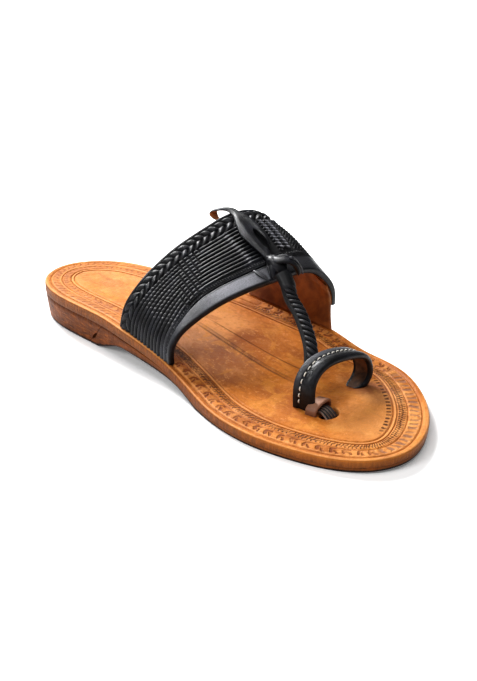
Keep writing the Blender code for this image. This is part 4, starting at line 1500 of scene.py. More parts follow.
def plait_relief(run, forward):
    """Two rows of slanting leaves that meet in a zigzag."""
    middle = 0.5 * (PLAIT_START + PLAIT_END)
    half = 0.5 * (PLAIT_END - PLAIT_START)
    side = (forward - middle) / half
    height = np.zeros_like(run)
    for row_side, offset in ((-1.0, 0.0), (1.0, 0.5)):
        local = side * row_side
        waver = 0.10 * np.sin(run / 5.3 + offset * 4.0)
        cell = cell_of(run / PLAIT_PITCH + offset + PLAIT_SLANT * local + waver)
        leaf = hump(cell, 0.37, 2.4) * hump(local - 0.46, 0.52, 2.6)
        height = np.maximum(height, PLAIT_HEIGHT * leaf ** 0.5 * (0.85 + 0.25 * local))
    return height


# %% [markdown]
# The field has eleven ribs that run along the band. On the lateral side they are notched
# and then cut in squares like a basket, and up the instep they run smooth. They end at a
# comb line, and short fingers go on to the strap. Past the strap there are two columns of
# short slanting bars and then a small basket weave.

# %% Field of the band
RIBS = 11
SQUARES_PLACE = 0.345
SQUARES_SLANT = 0.22
SQUARES_PITCH = 3.3
NOTCH_PITCH = 2.3
COMB_PLACE = 0.492
COMB_SLANT = 0.012
FINGER_END = 0.530
STRAP_PLACE = 0.572
BAR_COLUMNS = ((0.627, 0.0), (0.650, 0.5))
BARS_ACROSS = 22.0
BARS_SLANT = 28.0
NET_START = 0.668
NET_PITCH = 2.0
NET_PER_RIB = 1.05


def rib_place(forward):
    """Share of the width, counted in ribs from the plait."""
    return (forward - PLAIT_END) / (FIELD_END - PLAIT_END) * RIBS


def comb_distance(around, forward):
    """Share of the arch past the comb line, where the smooth ribs end and the fingers start."""
    return around - COMB_PLACE - COMB_SLANT * (forward - PLAIT_END)


def bar_cell(past, forward, offset):
    """Place across the slanting bars of a column, from -0.5 to 0.5."""
    return cell_of(forward * BARS_ACROSS + offset - past * BARS_SLANT)


def lateral_ribs(around, forward, run):
    """Ribs from the lateral end to the comb line: notched, cut in squares, then smooth."""
    place = rib_place(forward)
    number = np.floor(place)
    squares_at = SQUARES_PLACE - SQUARES_SLANT * (forward - PLAIT_END)
    squares = soft_box(around, squares_at - 0.060, squares_at + 0.040, 0.012)
    cut = ease((0.42 - np.abs(cell_of(run / SQUARES_PITCH + 0.1 * number))) / 0.14)
    notched = soft_box(around, 0.10, squares_at - 0.06, 0.06) * 0.5
    notch = ease((0.5 - np.abs(cell_of(run / NOTCH_PITCH + 0.5 * number))) / 0.3)
    height = hump(cell_of(place), 0.40, 2.2) ** 0.6 * (0.86 + 0.10 * np.sin(run / 6.0 + number * 1.7))
    return height * (1.0 - squares * (1.0 - cut) * 0.95) * (1.0 - notched * (1.0 - notch))


def comb_and_fingers(around, forward, ribs):
    """The ribs with their comb line, the fingers past it and the plain strip after them."""
    cell = cell_of(rib_place(forward))
    past = comb_distance(around, forward)
    started = ease(past / 0.004)
    ended = ease((around - FINGER_END - 0.012 * hump(cell, 0.5)) / 0.006)
    fingers = started * (1.0 - ended)
    height = ribs * (1.0 - fingers) * (1.0 - started * ended) + 1.15 * hump(cell, 0.33, 2.4) ** 0.5 * fingers
    comb = hump(past + 0.004, 0.012) * (0.5 + 0.5 * hump(cell, 0.45))
    return np.maximum(height, 1.2 * comb)


def bars_and_net(around, forward, run):
    """Two columns of slanting bars, then a basket weave down the medial side."""
    bars = np.zeros_like(run)
    for centre, offset in BAR_COLUMNS:
        column = hump(around - centre, 0.0112, 3.0) * soft_box(forward, 0.24, 0.70, 0.02) ** 2
        bar = column * hump(bar_cell(around - centre, forward, offset), 0.30, 2.2)
        bars = np.maximum(bars, bar ** 0.5)
    crossed = np.sin(2.0 * np.pi * run / NET_PITCH) * np.sin(2.0 * np.pi * NET_PER_RIB * rib_place(forward))
    net = (0.42 + 0.42 * squared(crossed, 0.5)) * ease((around - NET_START) / 0.006)
    return np.maximum(1.6 * bars, 0.9 * net)


def field_relief(around, forward, run):
    """The whole field, with the strap between its lateral and its medial part."""
    lateral = comb_and_fingers(around, forward, lateral_ribs(around, forward, run))
    medial = ease((around - (STRAP_PLACE + 0.012)) / 0.006)
    return lateral * (1.0 - medial) + medial * bars_and_net(around, forward, run)


# %% [markdown]
# The strips are joined by weights that fade from one to the next, and three thin grooves
# part them. Towards the sole the field widens to the front, so the share of the width is
# bent there first. A second function paints highlights and sheen for the leather: glints
# on the comb line and the bars, and a sheen along the margin.

# %% Relief and painted sheen of the band
BEAD_PITCH = 1.5
STEP_PITCH = 5.0


def bead_relief(around, forward, run):
    """The narrow rows between field and margin: a row of beads between two fine lines."""
    share = (forward - FIELD_END) / (BEADS_END - FIELD_END)
    beads = hump(share - 0.42, 0.26) ** 0.6 * (0.45 + 0.35 * np.sin(2.0 * np.pi * run / BEAD_PITCH))
    line = 0.8 * hump(share - 0.86, 0.13) ** 0.6 + 0.7 * hump(share - 0.06, 0.13) ** 0.6
    steps = soft_box(around, 0.20, 0.27, 0.01)
    zigzag = hump(share - 0.45 - 0.32 * np.sign(cell_of(run / STEP_PITCH)), 0.16) * 0.9
    return np.maximum(beads * (1.0 - steps) + zigzag * steps, line)


def worked_share(around, forward):
    """Share of the width as the pattern has it: towards the sole the field widens to the front."""
    field_end = FIELD_END + 0.20 * (1.0 - ease((around - 0.02) / 0.26))
    within = PLAIT_END + (forward - PLAIT_END) * (FIELD_END - PLAIT_END) / (field_end - PLAIT_END)
    beyond = 1.0 - (1.0 - forward) * (1.0 - FIELD_END) / (1.0 - field_end)
    return np.where(forward < PLAIT_END, forward, np.where(forward < field_end, within, beyond))


def band_relief(around, forward):
    """Height of the band's outside over its wall, in millimetres."""
    run = around * BAND_LENGTH
    forward = worked_share(around, forward)
    height = 0.45 + 0.35 * hump(forward - 0.895, 0.12)
    for strip, weight in (
        (plait_relief(run, forward), soft_box(forward, PLAIT_START, PLAIT_END, 0.01)),
        (field_relief(around, forward, run), soft_box(forward, PLAIT_END + 0.004, FIELD_END, 0.008)),
        (bead_relief(around, forward, run), soft_box(forward, FIELD_END + 0.004, BEADS_END, 0.008)),
    ):
        height = height * (1.0 - weight) + weight * strip
    grooves = np.zeros_like(height)
    for place in (PLAIT_START - 0.006, PLAIT_END, BEADS_END + 0.004):
        grooves = grooves + hump(forward - place, 0.008)
    return height - 0.4 * np.clip(grooves, 0.0, 1.0)


def band_painted_sheen(around, forward):
    """Painted highlights and sheen of the band: glints on the comb line and the bars, and a sheen along the
    margin.
    """
    inside = soft_box(forward, PLAIT_END + 0.01, 0.70, 0.02)
    on_rib = hump(cell_of(rib_place(forward)), 0.24)
    comb = hump(comb_distance(around, forward) + 0.006, 0.017) * on_rib * hump(forward - 0.45, 0.34)
    bars = np.zeros_like(comb)
    for centre, offset in BAR_COLUMNS:
        bar = hump(around - centre - 0.003, 0.009) * hump(bar_cell(around - centre, forward, offset), 0.28)
        bars = np.maximum(bars, bar)
    margin = soft_box(forward, BEADS_END + 0.03, 0.975, 0.03)
    sheen = margin * (0.15 + 0.50 * soft_box(around, 0.26, 0.50, 0.16))
    return np.clip(inside * (0.45 * comb + 1.2 * bars) + sheen, 0.0, 1.0)


# %% [markdown]
# The mesh of the band needs a point every third of a millimetre, so that the ribs are
# real. Each row of points goes once round the strip: over the worked face, round the front
# edge, back along the lining and round the rear edge.

# %% Mesh of the band
BAND_ROWS = 520
BAND_COLUMNS = 152
LINING_COLUMNS = 14
EDGE_COLUMNS = 7
EDGE_SHARE = 0.012
EDGE_RAISE = 0.45
FOOT_HEIGHT = 6.0


def band_normals(around, forward, step):
    """Outward normals of the band, for a grid of places."""
    over = band_points(around + step, forward) - band_points(around - step, forward)
    ahead = band_points(around, forward + step) - band_points(around, forward - step)
    normal = unit(np.cross(over, ahead))
    return -normal if normal[len(normal) // 2, 0, 2] < 0.0 else normal


def build_band():
    """The wall of the band: worked outside, rounded edges and plain lining."""
    widths, walls = strip_section(
        EDGE_SHARE, 1.0 - EDGE_SHARE, BAND_COLUMNS, LINING_COLUMNS, EDGE_SHARE, EDGE_SHARE, EDGE_COLUMNS
    )
    around = np.linspace(0.0, 1.0, BAND_ROWS)[:, None] * ends_at_height(BAND_END_HEIGHT, widths)
    forward = np.broadcast_to(widths, around.shape)
    on_foot = (1.0 - ease(around * BAND_LENGTH / FOOT_HEIGHT))[..., None]
    normal = upright_where(band_normals(around, forward, 0.004), on_foot)
    relief = band_relief(around, forward)
    on_face = walls > 0.99
    thick = walls * (BAND_WALL + np.where(on_face, relief, EDGE_RAISE))
    sections = band_points(around, forward) + normal * thick[..., None]
    sections[..., 2] = np.maximum(sections[..., 2], top_height(sections[..., 1]) + 0.1)
    points, faces = bar_mesh(sections)
    back = range(BAND_COLUMNS + EDGE_COLUMNS - 1, len(widths) - EDGE_COLUMNS + 1)
    picks = [int(face[0] % len(widths) in back) for face in faces[:-2]] + [2, 2]
    # The chart holds the relief, whose low spots are painted darker as painted shade, and the painted
    # highlights and sheen.
    charts = corner_charts(faces, np.where(on_face, relief, 0.6).ravel(), band_painted_sheen(around, forward).ravel())
    finishes = [band_leather, lining_leather, cut_edge]
    return make_piece("woven_band", points, faces, finishes, ["band"], charts, picks)


band = build_band()
print("band faces", len(band.data.polygons))

# %% [markdown]
# ## Medial flap
# Where the band comes down on the medial side, a flap of tan leather backs it and joins
# the edge of the sole. It shows as the warm inside of the opening. It is the same wall as
# the band's, set inward, from its own height down to the insole's edge.

# %% Flap
EAR_HEIGHT = 27.0
EAR_WALL = 2.2
FLAP_ROWS = 50
FLAP_COLUMNS = 40
FLAP_EDGE = 0.02


def build_flap():
    """The flap: a thin wall just inside the band, feathered at its top."""
    widths, walls = strip_section(
        FLAP_EDGE, 1.0 - FLAP_EDGE, FLAP_COLUMNS, FLAP_COLUMNS, FLAP_EDGE, FLAP_EDGE, EDGE_COLUMNS
    )
    tops = ends_at_height(EAR_HEIGHT, widths)
    shares = np.linspace(0.0, 1.0, FLAP_ROWS)[:, None]
    around = tops + (1.0 - tops) * shares
    forward = np.broadcast_to(widths, around.shape)
    over = band_points(around, forward) - band_points(around - 0.01, forward)
    ahead = band_points(around, forward + 0.01) - band_points(around, forward - 0.01)
    normal = unit(np.cross(over, ahead))
    if normal[FLAP_ROWS // 2, 0, 0] < 0.0:
        normal = -normal
    normal = upright_where(normal, ease((shares - 0.75) / 0.25)[..., None])
    feather = np.clip(shares / 0.12, 0.35, 1.0)
    depth = SEAM_GAP + EAR_WALL * (1.0 - walls) * feather
    flap_points, flap_faces = bar_mesh(band_points(around, forward) - normal * depth[..., None])
    return make_piece("medial_flap", flap_points, flap_faces, [lining_leather], ["medial_ear"])


flap = build_flap()
print("flap faces", len(flap.data.polygons))

# %% [markdown]
# ## Strap with an eye
# A narrow strap runs over the instep. A slit in it opens into an eye with raised lips, and
# its rear end curls down behind the band as a tongue. It follows the band's own surface,
# so its middle line is worked out from that, and only the free tongue is given.

# %% Eye strap
STRAP_WIDTH = 9.0
STRAP_WALL = 2.2
KNOT_PLACE = 0.955
KNOT_LENGTH = 19.0
KNOT_HEIGHT = 11.0
KNOT_SHIFT = -3.5
RIB_RAISE = 0.6
EYE_PLACE = 0.53
EYE_WAY = 0.34
EYE_LENGTH = 18.0
EYE_WIDTH = 4.2
EYE_LIP = 3.4
TONGUE_OVERHANG = 8.0
TONGUE = (
    (0.22, -0.10, 0.10),
    (0.50, -0.40, 0.30),
    (0.78, -1.00, 0.55),
    (0.96, -1.90, 0.76),
    (0.78, -2.60, 0.72),
    (0.40, -2.90, 0.55),
)
STRAP_ROWS = 170
STRAP_SIDES = 36
LINING_FROM = 0.7


def strap_spine():
    """Middle of the strap's underside from the knot to the tip of the tongue."""
    clear = BAND_WALL + 0.7 + 2.0 * SEAM_GAP
    width = np.linalg.norm(band_points(STRAP_PLACE, 1.0) - band_points(STRAP_PLACE, 0.0))
    start = KNOT_PLACE - (KNOT_LENGTH / 2.0 + SEAM_GAP) / width
    spine = []
    for forward in np.linspace(start, 0.04, 9):
        point, normal, _, side = band_axes(STRAP_PLACE, forward)
        turned = ease((forward - EYE_PLACE + 0.05) / (start - EYE_PLACE + 0.05))
        lower = 0.7 * ease((0.3 - forward) / 0.3)
        spine.append(point + normal * (clear - lower) + side * KNOT_SHIFT * turned)
    edge, normal, ahead, side = band_axes(STRAP_PLACE, 0.0)
    for back, lift, sideways in TONGUE:
        point = edge - ahead * TONGUE_OVERHANG * back + normal * (clear - 0.7 + STRAP_WALL * lift)
        spine.append(point - side * STRAP_WIDTH * sideways)
    return np.array(spine)


def strap_widths(way):
    """Width of the strap: full from the knot to past the eye, narrow at the tongue's tip."""
    width = STRAP_WIDTH * (0.42 + 0.58 * ease(way / 0.22)) * (1.0 + 0.18 * bell(way - EYE_WAY, 0.17))
    return width * (1.0 - 0.42 * ease((way - 0.50) / 0.18)) * (1.0 - 0.75 * ease((way - 0.90) / 0.12))


def strap_section(turn, width, wall, swell):
    """How far to the side and how far up the strap's skin is, for angles round it."""
    share = squared(np.cos(turn), 0.7)
    across = share * (width / 2.0 + EYE_LIP * swell * (share < 0.0))
    lip = 0.9 * swell * bell(np.abs(share) - 0.62, 0.24)
    crown = 0.5 * (1.0 - share ** 2) * (1.0 - swell)
    thick = wall * 0.425 * (1.0 + squared(np.sin(turn), 0.6))
    return across, thick + (np.sin(turn) > 0.0) * (lip + crown)


def build_strap():
    """The strap as one skin: rounded edges, lips round its eye, brown under its thin tongue."""
    path = smooth_path(strap_spine(), STRAP_ROWS)
    side = band_axes(STRAP_PLACE, 0.5)[3]
    normal = unit(np.cross(directions(path), side))
    normal = normal * np.sign(normal[0, 2])
    way = np.linspace(0.0, 1.0, STRAP_ROWS)
    swell = bell(way - EYE_WAY, 0.17)
    wall = STRAP_WALL * (1.0 - 0.45 * ease((way - 0.55) / 0.2))
    turn = full_turn(STRAP_SIDES)
    sections = []
    for row, width in enumerate(strap_widths(way)):
        across, up = strap_section(turn, width, wall[row], swell[row])
        sections.append(path[row] + side * across[:, None] + normal[row] * up[:, None])
    points, faces = bar_mesh(sections)
    lined = STRAP_SIDES * STRAP_ROWS * LINING_FROM
    picks = []
    for index, face in enumerate(faces[:-2]):
        underneath = face[0] % STRAP_SIDES > STRAP_SIDES // 2
        picks.append(int(underneath and index > lined))
    picks += [0, 0]
    # Painted sheen: the lips round the eye get a grey painted highlight.
    on_lip = bell(np.cos(turn) + 0.62, 0.30) * (np.sin(turn) > 0.0)
    painted_sheen = np.outer(swell, on_lip).ravel() * 0.16
    charts = corner_charts(faces, np.full(len(painted_sheen), 0.6), painted_sheen)
    finishes = [band_leather, lining_leather]
    return make_piece(
        "eye_strap_leather", points, faces, finishes, ["eye_strap"], charts, picks
    )


strap = build_strap()
print("strap faces", len(strap.data.polygons))

# %% [markdown]
# The slit of the eye is punched out like the hole in the insole, with a bar that has
# pointed ends.

# %% The slit of the eye


def eye_rings():
    """Rings of a punch that stands on the band and has the eye's outline."""
    point, normal, ahead, side = band_axes(STRAP_PLACE, EYE_PLACE)
    turn = full_turn(40)
    lengthways = np.outer(EYE_LENGTH / 2.0 * np.cos(turn), ahead)
    sideways = np.outer(EYE_WIDTH / 2.0 * squared(np.sin(turn), 1.3), side)
    return [point + normal * (BAND_WALL + lift) + lengthways + sideways for lift in (-7.0, 1.0, 13.0)]


punch(strap, eye_rings())
print("strap with its eye:", len(strap.data.polygons), "faces")

# %% [markdown]
# ## Knot
# The strap, the cord and a wrap are knotted at the band's front edge. A knot reads well
# when it is built as it is tied: a core lump, a hood that wraps over it, pointed ends and
# a small bead. Each of these is a leaf: a soft bar along a short spine, with pointed ends.

# %% A folded leaf
LEAF_ROWS = 26
LEAF_SIDES = 16


def leaf_mesh(spine, side, width, thick, point, rows=LEAF_ROWS, sides=LEAF_SIDES):
    """A pointed strap end or fold along a spine, with soft edges."""
    path = smooth_path(spine, rows)
    turn = full_turn(sides)
    sections = []
    for row, along in enumerate(directions(path)):
        swell = max(math.sin(math.pi * min(1.0, 0.08 + 0.92 * row / (rows - 1))) ** point, 0.04)
        across = unit(side - along * np.dot(side, along))
        normal = np.cross(along, across)
        flat = squared(np.cos(turn), 0.8) * width / 2.0 * swell
        lift = squared(np.sin(turn), 0.8) * thick / 2.0 * swell ** 0.6
        sections.append(path[row] + across * flat[:, None] + normal * lift[:, None])
    return bar_mesh(sections)


# %% [markdown]
# The knot's own axes stand on the band: forward, to the medial side and outward. A fold
# is then a few places in millimetres, its width and thickness, how blunt its ends are, and
# how much painted sheen it gets.

# %% Folds of the knot


def knot_axes():
    """Middle of the knot with its forward, medial and outward directions."""
    point, normal, ahead, side = band_axes(STRAP_PLACE, KNOT_PLACE)
    lift = BAND_WALL + RIB_RAISE + SEAM_GAP + KNOT_HEIGHT / 2.0
    return point + normal * lift, ahead, side, normal


def over_band(places):
    """Points over the band's lining, from shares of the arch and the width, and heights."""
    points = []
    for around, forward, height in places:
        point, normal, _, _ = band_axes(around, forward)
        points.append(point + normal * height)
    return points


def knot_folds():
    """Spine, side, width, thickness, bluntness and painted sheen of each fold."""
    middle, ahead, side, up = knot_axes()

    def at(*places):
        return [middle + ahead * forward + side * medial + up * high for forward, medial, high in places]

    core = at((-9.0, -4.5, -2.4), (-5.0, -4.0, -0.6), (0.0, -3.0, -0.8), (5.0, -2.5, -2.4))
    hood = at(
        (-6.3, -6.0, -1.6), (-3.6, -4.6, 1.8), (-1.4, -1.6, 3.3),
        (0.8, 1.6, 3.1), (3.6, 4.4, 0.8), (6.9, 4.9, -2.6),
    )
    lateral_fold = at((-5.6, -5.6, -0.6), (-2.6, -6.6, 0.2), (0.6, -7.6, -1.4), (3.2, -8.4, -4.2))
    long_tip = over_band(((0.545, 0.76, 5.2), (0.533, 0.84, 5.6), (0.520, 0.92, 5.0), (0.511, 0.985, 3.2)))
    flat_tip = over_band(((0.478, 0.80, 3.3), (0.484, 0.865, 3.9), (0.492, 0.93, 3.9), (0.503, 1.0, 3.0)))
    medial_fold = at((-6.5, -3.0, 0.6), (-3.0, 0.5, 2.4), (1.0, 5.0, 2.0), (4.4, 8.0, -1.4))
    medial_tip = at((-1.6, 4.4, 0.6), (1.2, 5.8, 0.4), (3.6, 7.2, -1.4), (6.2, 8.8, -4.2))
    bead = at((-0.6, 1.6, 4.4), (0.4, 2.4, 5.2), (1.5, 3.2, 4.3))
    rear_fold = at((-7.4, -0.5, -1.0), (-5.0, 3.0, 0.4), (-2.0, 6.4, 0.0), (0.6, 9.2, -2.4))
    return (
        (core, side, 9.0, 6.5, 0.6, 0.0),
        (hood, unit(ahead + up * 0.4), 5.6, 2.8, 0.42, 0.06),
        (lateral_fold, unit(side + up * 0.5), 3.8, 2.0, 0.7, 0.03),
        (long_tip, side, 2.7, 1.7, 1.1, 0.14),
        (flat_tip, side, 3.4, 1.2, 1.0, 0.26),
        (medial_fold, ahead, 4.2, 2.2, 0.6, 0.03),
        (medial_tip, unit(side + ahead * 0.4), 3.4, 1.5, 0.95, 0.24),
        (bead, ahead, 2.0, 1.9, 0.5, 0.08),
        (rear_fold, ahead, 3.4, 2.2, 0.7, 0.0),
    )


def build_knot():
    """All folds of the knot as one piece. The chart paints their sides darker and matt, as painted shade,
    and paints a grey sheen on their backs.
    """
    folds = knot_folds()
    points, faces = join_meshes([leaf_mesh(*fold[:5]) for fold in folds])
    # Painted shade and sheen: the sides of each fold are painted darker and their backs grey.
    crown = np.tile(np.abs(np.sin(full_turn(LEAF_SIDES))) ** 0.7, LEAF_ROWS * len(folds))
    painted_sheen = np.repeat([fold[5] for fold in folds], LEAF_ROWS * LEAF_SIDES) * crown
    charts = corner_charts(faces, 0.12 + 0.88 * crown, painted_sheen)
    return make_piece("strap_knot", points, faces, [band_leather], ["knot"], charts)


knot = build_knot()
print("knot faces", len(knot.data.polygons))

# %% [markdown]
# ## Plaited cord
# The cord is a round plait. Strips wound as separate helices would cut through each other
# where they cross, so the cord is one skin round a smooth path. Its radius rises and falls
# with a row of slanting beans, which is what a plait shows on one side.

# %% Route of the cord
CORD_WIDTH = 8.0
CORD_THICKNESS = 6.4
CORD_FOOT_OFFSET = -8.6
CORD_SHIFT = -5.0
RING_STATION = 209.5
RING_STRAP_WIDTH = 10.5
RING_AXIS_OFFSET = 13.2
CORD_ROUTE = (
    (0.000, 0.000, 0.000),
    (0.123, 0.112, 0.130),
    (0.318, 0.257, 0.217),
    (0.533, 0.430, 0.330),
    (0.738, 0.609, 0.450),
    (0.881, 0.771, 0.548),
    (0.969, 0.894, 0.677),
    (0.998, 0.966, 0.814),
    (1.000, 1.000, 1.000),
)


def cord_path(count):
    """The cord's middle line, from under the knot's hood to the insole behind the toe ring."""
    middle, ahead, side, up = knot_axes()
    start = middle + ahead * (KNOT_LENGTH / 2.0 + 0.25 * CORD_THICKNESS) - up * 0.12 * KNOT_HEIGHT
    station = RING_STATION - RING_STRAP_WIDTH / 2.0 - SEAM_GAP - 0.2 * CORD_THICKNESS
    way = seat(RING_AXIS_OFFSET + CORD_FOOT_OFFSET, station, 2.0 * SEAM_GAP) - start
    points = [start - ahead * 6.5 + up * 1.6 + side * CORD_SHIFT]
    for along, across, down in CORD_ROUTE:
        shift = side * CORD_SHIFT * (1.0 - along) ** 1.8
        points.append(start + way * np.array((across, along, down)) + shift)
    return smooth_path(points, count)


# %% [markdown]
# The beans sit on the side that faces up and to the lateral side, and a plain strand runs
# along the far side. The first few millimetres, where the strands leave the knot, are
# smooth. The same relief goes into the chart, so that the gaps are painted matt and black
# as painted shade. The far side is painted darker too, as painted shade, and the crowns of
# the beans get a grey painted highlight.

# %% Beans of the cord
BEAN_PITCH = 3.7
BEAN_SLANT = 0.75
BEAN_SIDE = math.radians(84.0)
BEAN_REACH = math.radians(64.0)
CORD_ROWS = 420
CORD_SIDES = 72


def facing(turn):
    """Angle round the cord from the middle of the beans."""
    return (turn - BEAN_SIDE + math.pi) % (2.0 * math.pi) - math.pi


def bean_relief(turn, run):
    """Relief of the plait: one row of slanting beans, and a smooth strand along its far side."""
    local = facing(turn) / BEAN_REACH
    cell = cell_of(run / BEAN_PITCH + BEAN_SLANT * local)
    beans = hump(cell, 0.37, 2.2) ** 0.55 * hump(local, 1.0, 4.0) ** 0.5
    strand = hump(np.abs(facing(turn)) - math.pi, math.pi - BEAN_REACH - 0.1, 2.6) ** 0.5
    plaited = ease((run - 7.0) / 5.0)
    return (1.0 - plaited) * 0.8 + plaited * np.maximum(beans, strand * 0.85)


def build_cord():
    """The cord: smooth where it leaves the knot, then plaited, with deep gaps between the beans."""
    path = cord_path(CORD_ROWS)
    along = directions(path)
    flat = np.array((1.0, 0.35, 0.0))
    wide = unit(flat - along * (along @ flat)[:, None])
    high = np.cross(along, wide)
    high *= np.sign(high[CORD_ROWS // 2, 2])
    run = run_along(path)[:, None]
    turn = full_turn(CORD_SIDES)
    relief = bean_relief(turn, run)
    radius = (0.69 + 0.35 * relief) * (1.0 + 0.12 * bell(run, 12.0))
    out_wide = wide[:, None, :] * (CORD_WIDTH / 2 * radius * np.cos(turn))[..., None]
    out_high = high[:, None, :] * (CORD_THICKNESS / 2 * radius * np.sin(turn))[..., None]
    points, faces = bar_mesh(path[:, None, :] + out_wide + out_high)
    # Painted shade and highlight: the side away from the beans and the gaps are painted darker, the bean
    # crowns grey.
    painted_lit_side = 1.0 - ease((np.abs(facing(turn)) - BEAN_REACH) / 0.3)
    height_and_shade = (relief * (0.30 + 0.70 * painted_lit_side)).ravel()
    charts = corner_charts(faces, height_and_shade, 0.08 * height_and_shade ** 4)
    return make_piece("plaited_cord", points, faces, [band_leather], ["toe_cord"], charts)


cord = build_cord()
print("cord faces", len(cord.data.polygons), "and length", round(run_along(cord_path(CORD_ROWS))[-1]), "mm")

# %% [markdown]
# ## Toe ring
# The ring is a strap of two layers, black outside and brown inside, bent to an arch. The
# arch leans over to the medial side, the lateral foot spreads forward and the medial foot
# is rounded. A groove for the stitches runs just behind the middle, between a flat back
# half and a fuller front half.

# %% Arch of the ring
RING_WALL = 2.6
RING_SPAN = 35.0
RING_HEIGHT = 20.5
RING_SHEAR = 0.28
RING_TILT = 1.5
RING_ARCH = (
    (0.000, 0.000),
    (-0.005, 0.360),
    (0.030, 0.650),
    (0.140, 0.860),
    (0.240, 0.950),
    (0.470, 1.000),
    (0.850, 0.915),
    (1.050, 0.780),
    (1.166, 0.505),
    (1.180, 0.285),
    (1.090, 0.080),
    (0.960, 0.000),
)
RING_ROWS = 150


def ring_spine():
    """Middle of the ring's inner side with its outward directions."""
    base = seat(RING_AXIS_OFFSET - RING_SPAN / 2.0, RING_STATION)
    points = [base + np.array((RING_SPAN * share, 0.0, RING_HEIGHT * up)) for share, up in RING_ARCH]
    path = smooth_path(points, RING_ROWS)
    along = directions(path)
    return path, np.column_stack([-along[:, 2], np.zeros(RING_ROWS), along[:, 0]])


def ring_point(path, out, row, share, height):
    """A point of the ring: share -0.5 to 0.5 of its width, height over its inner side."""
    way = row / (RING_ROWS - 1)
    width = RING_STRAP_WIDTH * (1.0 - 0.16 * (2.0 * way - 1.0) ** 2)
    width *= math.sqrt(1.0 - 0.75 * float(np.clip((way - 0.93) / 0.07, 0.0, 1.0)) ** 2)
    drop = RING_TILT * share * math.sin(math.pi * way)
    lower = int(row)
    upper = min(lower + 1, RING_ROWS - 1)
    mix = row - lower
    centre = path[lower] * (1.0 - mix) + path[upper] * mix
    normal = unit(out[lower] * (1.0 - mix) + out[upper] * mix)
    point = centre + np.array((RING_SHEAR * width * share, width * share, -drop)) + normal * height
    point[2] = max(point[2], float(top_height(point[1])) + SEAM_GAP)
    return point


# %% [markdown]
# The skin of the ring is a strip section again, with a few tenths of a millimetre of
# relief on its face. The brown layer takes the inner side, with a black rim left on each
# side of it.

# %% Ring
RING_COLUMNS = 26
RING_EDGE_COLUMNS = 8
RING_BACK = -0.44
RING_FRONT = 0.42
STITCH_SHARE = -0.10


def build_ring():
    """The arch of the ring: a flat back half, a fuller front half and a brown inside."""
    path, out = ring_spine()
    shares, walls = strip_section(
        RING_BACK, RING_FRONT, RING_COLUMNS, RING_COLUMNS, 0.06, 0.08, RING_EDGE_COLUMNS
    )
    crowns = 0.55 * hump(shares - 0.24, 0.24) + 0.25 * hump(shares + 0.28, 0.22)
    crowns = (crowns - 0.35 * bell(shares - STITCH_SHARE, 0.045)) * (walls > 0.99)
    sections = []
    for row in range(RING_ROWS):
        spread = 1.0 + 0.42 * (1.0 - ease(row / (RING_ROWS - 1) / 0.30))
        wider = np.where(shares > 0.0, shares * spread, shares)
        heights = RING_WALL * walls + crowns
        sections.append([ring_point(path, out, row, *place) for place in zip(wider, heights)])
    points, faces = bar_mesh(sections)
    first = RING_COLUMNS + RING_EDGE_COLUMNS + 3
    brown = range(first, first + RING_COLUMNS - 7)
    picks = [int(face[0] % len(shares) in brown) for face in faces[:-2]] + [0, 0]
    ways = np.linspace(0.0, 1.0, RING_ROWS)[:, None]
    # Painted sheen: the strip behind the stitches is painted grey as a satin highlight.
    behind = (1.0 - ease((shares - STITCH_SHARE + 0.10) / 0.06)) * (walls > 0.99)
    painted_sheen = (behind * ease(ways / 0.35) * ease((0.95 - ways) / 0.2) * 0.28).ravel()
    charts = corner_charts(faces, np.full(len(painted_sheen), 0.56), painted_sheen)
    finishes = [band_leather, suede]
    return make_piece(
        "toe_ring_leather", points, faces, finishes, ["toe_ring"], charts, picks
    )


toe_ring = build_ring()
print("ring faces", len(toe_ring.data.polygons))

# %% [markdown]
# Stitches are modelled one by one, because a texture would look printed: each is a short
# bar with round ends that dips into the leather at both ends.

# %% Stitches
STITCH_PITCH = 3.1
STITCH_LENGTH = 1.9
STITCH_START = 3.0
STITCHES_END = 0.80
STITCH_BEND = ((0.00, -0.35), (0.18, 0.00), (0.50, 0.12), (0.82, 0.00), (1.00, -0.35))

thread = Leather("white_thread", Roughness=0.75)
thread_wire = thread.noise(thread.join(*thread.place()), 3.0, 2.0)
thread.feed("Base Color", thread.blend(thread_wire, (0.60, 0.57, 0.50), (0.84, 0.80, 0.72)))
thread.bump(thread_wire, 0.4, 0.0003)


def build_stitches():
    """A row of stitches in the groove of the ring."""
    path, out = ring_spine()
    run = run_along(path)
    parts = []
    start = STITCH_START
    while start + STITCH_PITCH < run[-1] * STITCHES_END:
        spine = []
        for share, lift in STITCH_BEND:
            row = float(np.interp(start + share * STITCH_LENGTH, run, np.arange(len(run))))
            spine.append(ring_point(path, out, row, STITCH_SHARE, RING_WALL + lift))
        side = np.cross(unit(spine[-1] - spine[0]), (0.0, 0.3, 1.0))
        parts.append(leaf_mesh(spine, side, 0.62, 0.7, point=0.3, rows=8, sides=8))
        start += STITCH_PITCH
    print("stitches:", len(parts))
    points, faces = join_meshes(parts)
    return make_piece("ring_stitches", points, faces, [thread.material])


stitches = build_stitches()

# %% [markdown]
# ## Bridge and plait ends
# In front of the ring, a small tongue of the insole is lifted as a bridge. It is a strip
# bent to a low arch across the oval hole.

# %% Bridge
BRIDGE_WALL = 1.8
BRIDGE_RISE = 5.4
BRIDGE_LENGTH = 6.2
BRIDGE_ROWS = 36
BRIDGE_EDGE = 0.12


